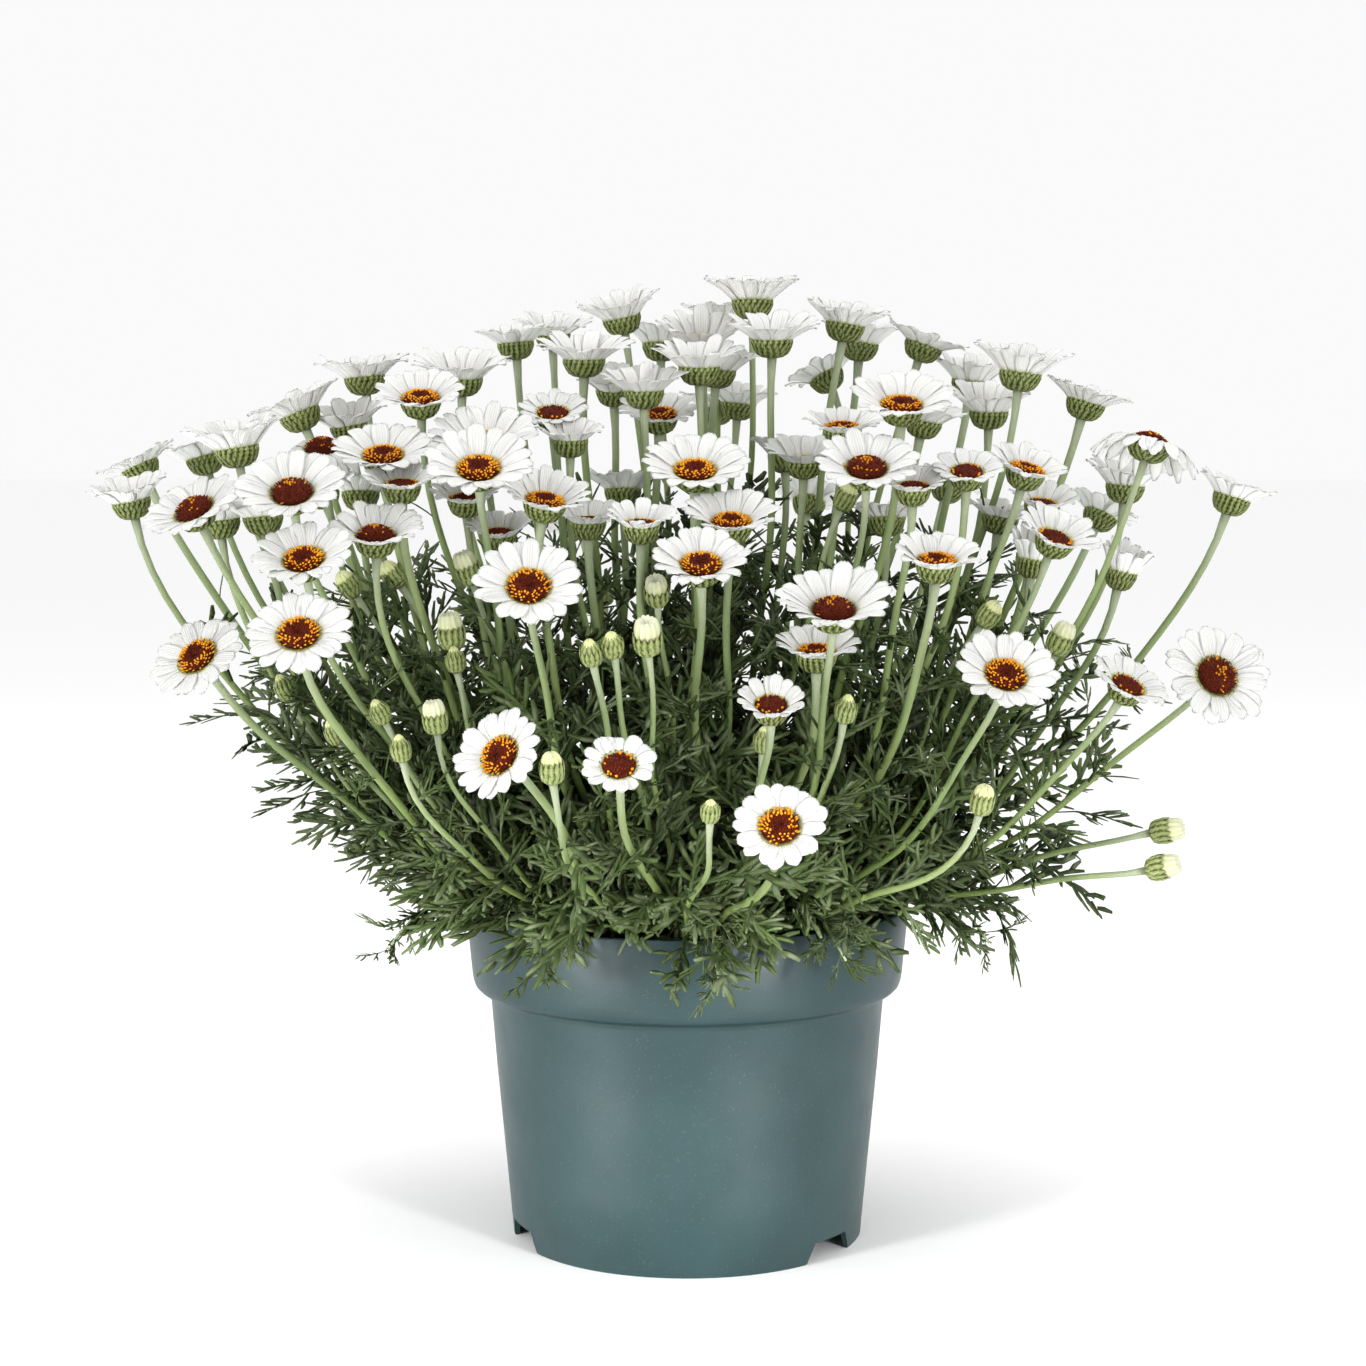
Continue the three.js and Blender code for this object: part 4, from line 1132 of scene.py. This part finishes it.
def make_pot():
    """The shell is cut in millimetres, by helpers that are removed again."""
    shell = helper("pot_shell", shell_rings())
    cuts = [rings(heading) for rings in (notch_rings, drain_rings) for heading in NOTCH_HEADINGS]
    cutters = [helper(f"pot_cut_{i}", rings) for i, rings in enumerate(cuts)]
    for cutter in cutters:
        cut = shell.modifiers.new(cutter.name, "BOOLEAN")
        cut.operation = "DIFFERENCE"
        cut.object = cutter
    graph = bpy.context.evaluated_depsgraph_get()
    mesh = bpy.data.meshes.new_from_object(shell.evaluated_get(graph))
    for made in [shell, *cutters]:
        bpy.data.objects.remove(made)
    work = bmesh.new()
    work.from_mesh(mesh)
    bmesh.ops.scale(work, vec=(MM, MM, MM), verts=work.verts)
    bmesh.ops.remove_doubles(work, verts=work.verts, dist=0.01 * MM)
    bmesh.ops.recalc_face_normals(work, faces=work.faces)
    for edge in work.edges:
        edge.smooth = len(edge.link_faces) == 2 and edge.calc_face_angle() < math.radians(POT_CREASE)
    for face in work.faces:
        face.smooth = True
    work.to_mesh(mesh)
    work.free()
    mesh.name = "nursery_pot"
    place("nursery_pot", mesh, pot_finish(), "pot", ["pot"])


def soil_height(radius):
    return SOIL_EDGE_HEIGHT + SOIL_CROWN * (1 - (radius / SOIL_RADIUS) ** 2)


def make_soil():
    """The filling of the pot, with an uneven top and loose crumbs on it."""
    shape = Shape()
    low = FLOOR_HEIGHT + POT_WALL + 0.35
    inset = POT_WALL + 0.7
    sides = 48
    body = [
        (0.5, low),
        (BASE_RADIUS - inset + 1, low),
        (BODY_TOP_RADIUS - inset, RIM_FOOT_HEIGHT + 2),
        (RIM_FOOT_RADIUS - inset, RIM_FOOT_HEIGHT + 7.5),
        (RIM_FOOT_RADIUS - inset + 1.2, SOIL_EDGE_HEIGHT),
    ]
    top = [(r, soil_height(r)) for r in range(SOIL_RADIUS - 4, 2, -6)]
    rings = turned(body + top, sides)
    bump = rng.normal(0, SOIL_BUMPS, (len(top), sides))
    bump = (bump + np.roll(bump, 1, axis=1) + np.roll(bump, -1, axis=1)) / 2
    rings[0, len(body) :, :, 2] += bump
    shape.loft(rings)

    angle = rng.uniform(0, TURN, SOIL_CRUMBS)
    radius = (SOIL_RADIUS - 3) * np.sqrt(rng.random(SOIL_CRUMBS))
    size = rng.uniform(*CRUMB_SIZES, SOIL_CRUMBS)
    crumb = turned([(0.35, -0.8), (0.95, -0.3), (0.9, 0.35), (0.3, 0.8)], 6)
    crumbs = crumb * each(size)[..., None] * rng.uniform(0.75, 1.2, (SOIL_CRUMBS, 4, 6, 1))
    middles = spun(radius, 0, soil_height(radius) + 0.3 * size, angle)
    shape.loft(crumbs + middles[:, None, None])
    place("potting_soil", shape.mesh("potting_soil"), soil_finish(), "soil", ["soil"])


# Plant

FINISHES = {
    "stalk": stalk_finish(),
    "leaf": leaf_finish(),
    "cup": cup_finish(),
    "ray": ray_finish(),
    "disc": disc_finish(),
}


def head_placer(middle, axis, spin):
    """What moves a form from +Z to a head, and the angle round it that faces the front."""
    seed = [0.0, 1.0, 0.0] if abs(axis[1]) < 0.9 else [1.0, 0.0, 0.0]
    across = unit(np.cross(axis, seed))
    across = between(across, np.cross(axis, across), spin)
    other = np.cross(axis, across)

    def on_head(local):
        return middle + local[..., :1] * across + local[..., 1:2] * other + local[..., 2:] * axis

    return on_head, math.atan2(-other[1], -across[1])


def grow_branch(branch):
    """The stalks of a branch with all that they carry, in one piece for each material."""
    shapes = {slot: Shape(names) for slot, names in VALUES.items()}
    for kind, number, seat, at in branch.seats():
        seed = number + {"flower": 0, "bud": 200, "shoot": 300}[kind]
        middle = np.array(at[:3], dtype=float)
        if kind == "shoot":
            path = wavered(shoot_path(seat, middle, 18), seed)
            grow_stalk(shapes["stalk"], path, TWIG_RADIUS, TWIG_END_RADIUS, 0)
            grow_leaves(shapes["leaf"], path, seed, 0.35, 1.0, SHOOT_LEAVES, SHOOT_LEAF_LENGTHS)
            continue
        if kind == "flower":
            lean, heading, span = at[3:6]
            state = at[6] if len(at) > 6 else "ring"
            axis = leaning(lean, heading)
            path = wavered(stalk_path(seat, middle - axis * CUP_DEPTH, axis, 22), seed)
            grow_stalk(shapes["stalk"], path, STALK_RADIUS, NECK_RADIUS, 0.6)
            on_head, lit_side = head_placer(middle, axis, TURN * draw(number, 23))
            points, values = ray_rings(number, lean, span, state, lit_side)
            shapes["ray"].loft(on_head(points), **values)
            add_disc(shapes["disc"], on_head, span, state)
            add_cup(shapes["cup"], on_head, span)
        else:
            length = at[3]
            axis = bud_axis(number, at)
            path = wavered(stalk_path(seat, middle - axis * length / 2, axis, 20), seed)
            grow_stalk(shapes["stalk"], path, STALK_RADIUS * 0.9, TWIG_RADIUS, 0.5)
            on_head, _ = head_placer(middle, axis, TURN * draw(number, 23))
            add_bud(shapes["cup"], shapes["ray"], on_head, length)
        steps = np.linalg.norm(np.diff(path, axis=0), axis=1)
        count = round(LEAF_TOP_SHARE * steps.sum() / LEAF_PITCH)
        grow_leaves(shapes["leaf"], path, seed, 0.03, LEAF_TOP_SHARE, count, LEAF_LENGTHS)
        grow_bract_leaves(shapes["leaf"], path, seed)
    for slot, shape in shapes.items():
        if shape.count:
            name = f"{branch.node}_{slot}"
            place(name, shape.mesh(name), FINISHES[slot], slot, [branch.node])


make_pot()
make_soil()
for branch in outer + inner:
    grow_branch(branch)


# Stage

FLOOR_HALF = 30.0
PLANT_MIDDLE = (0, 0, 0.22)
POT_FOOT = (0, -0.09, 0.0)

# Each light: its name, place, aim, size, watts, and the spread of its beam in degrees
LIGHTS = [
    ("key", (-1.05, -1.0, 0.36), PLANT_MIDDLE, (0.4, 0.7), 6.3, 180),
    ("fill", (0.85, -1.15, 0.36), PLANT_MIDDLE, (0.4, 0.7), 4.4, 180),
    ("top", (0.1, 0.2, 2.0), PLANT_MIDDLE, (1.4, 1.4), 11, 180),
    ("pot_left", (-0.56, -0.56, 0.1), POT_FOOT, (0.12, 0.2), 0.33, 38),
    ("pot_right", (0.45, -0.65, 0.1), POT_FOOT, (0.1, 0.2), 0.28, 38),
]


def make_floor():
    mesh = bpy.data.meshes.new("floor")
    corners = [(FLOOR_HALF * x, FLOOR_HALF * y, 0) for x, y in ((-1, -1), (1, -1), (1, 1), (-1, 1))]
    mesh.from_pydata(corners, [], [(0, 1, 2, 3)])
    finish = Finish("floor")
    finish.set(base_color=(0.98, 0.98, 0.98, 1), roughness=0.95, specular_ior_level=0.1)
    mesh.materials.append(finish.material)
    floor = link("floor", mesh)


def add_light(name, middle, aim, size, watts, spread):
    """A soft box that faces a point, and that the camera doesn't see."""
    light = bpy.data.lights.new(name, "AREA")
    light.shape = "RECTANGLE"
    light.size, light.size_y = size
    light.energy = watts
    light.spread = math.radians(spread)
    lamp = link(name, light)
    lamp.location = middle
    lamp.rotation_euler = (Vector(aim) - Vector(middle)).to_track_quat("-Z", "Y").to_euler()
    lamp.visible_camera = False


def make_camera():
    """The camera that was fitted to the edges of the pot in the photograph."""
    data = bpy.data.cameras.new("camera")
    data.sensor_width = 36
    data.lens = 72
    camera = link("camera", data)
    camera.location = (-0.0018, -1.162, 0.336)
    camera.rotation_euler = (math.radians(90 - 4.87), 0, 0)
    bpy.context.scene.camera = camera


make_floor()
make_camera()
for light in LIGHTS:
    add_light(*light)

world = bpy.data.worlds.new("studio")
world.use_nodes = True
sky = world.node_tree.nodes["Background"].inputs
sky["Color"].default_value = (1, 1, 1, 1)
sky["Strength"].default_value = 0.8
bpy.context.scene.world = world
bpy.context.scene.view_settings.view_transform = "Standard"
bpy.context.scene.view_settings.look = "Medium High Contrast"
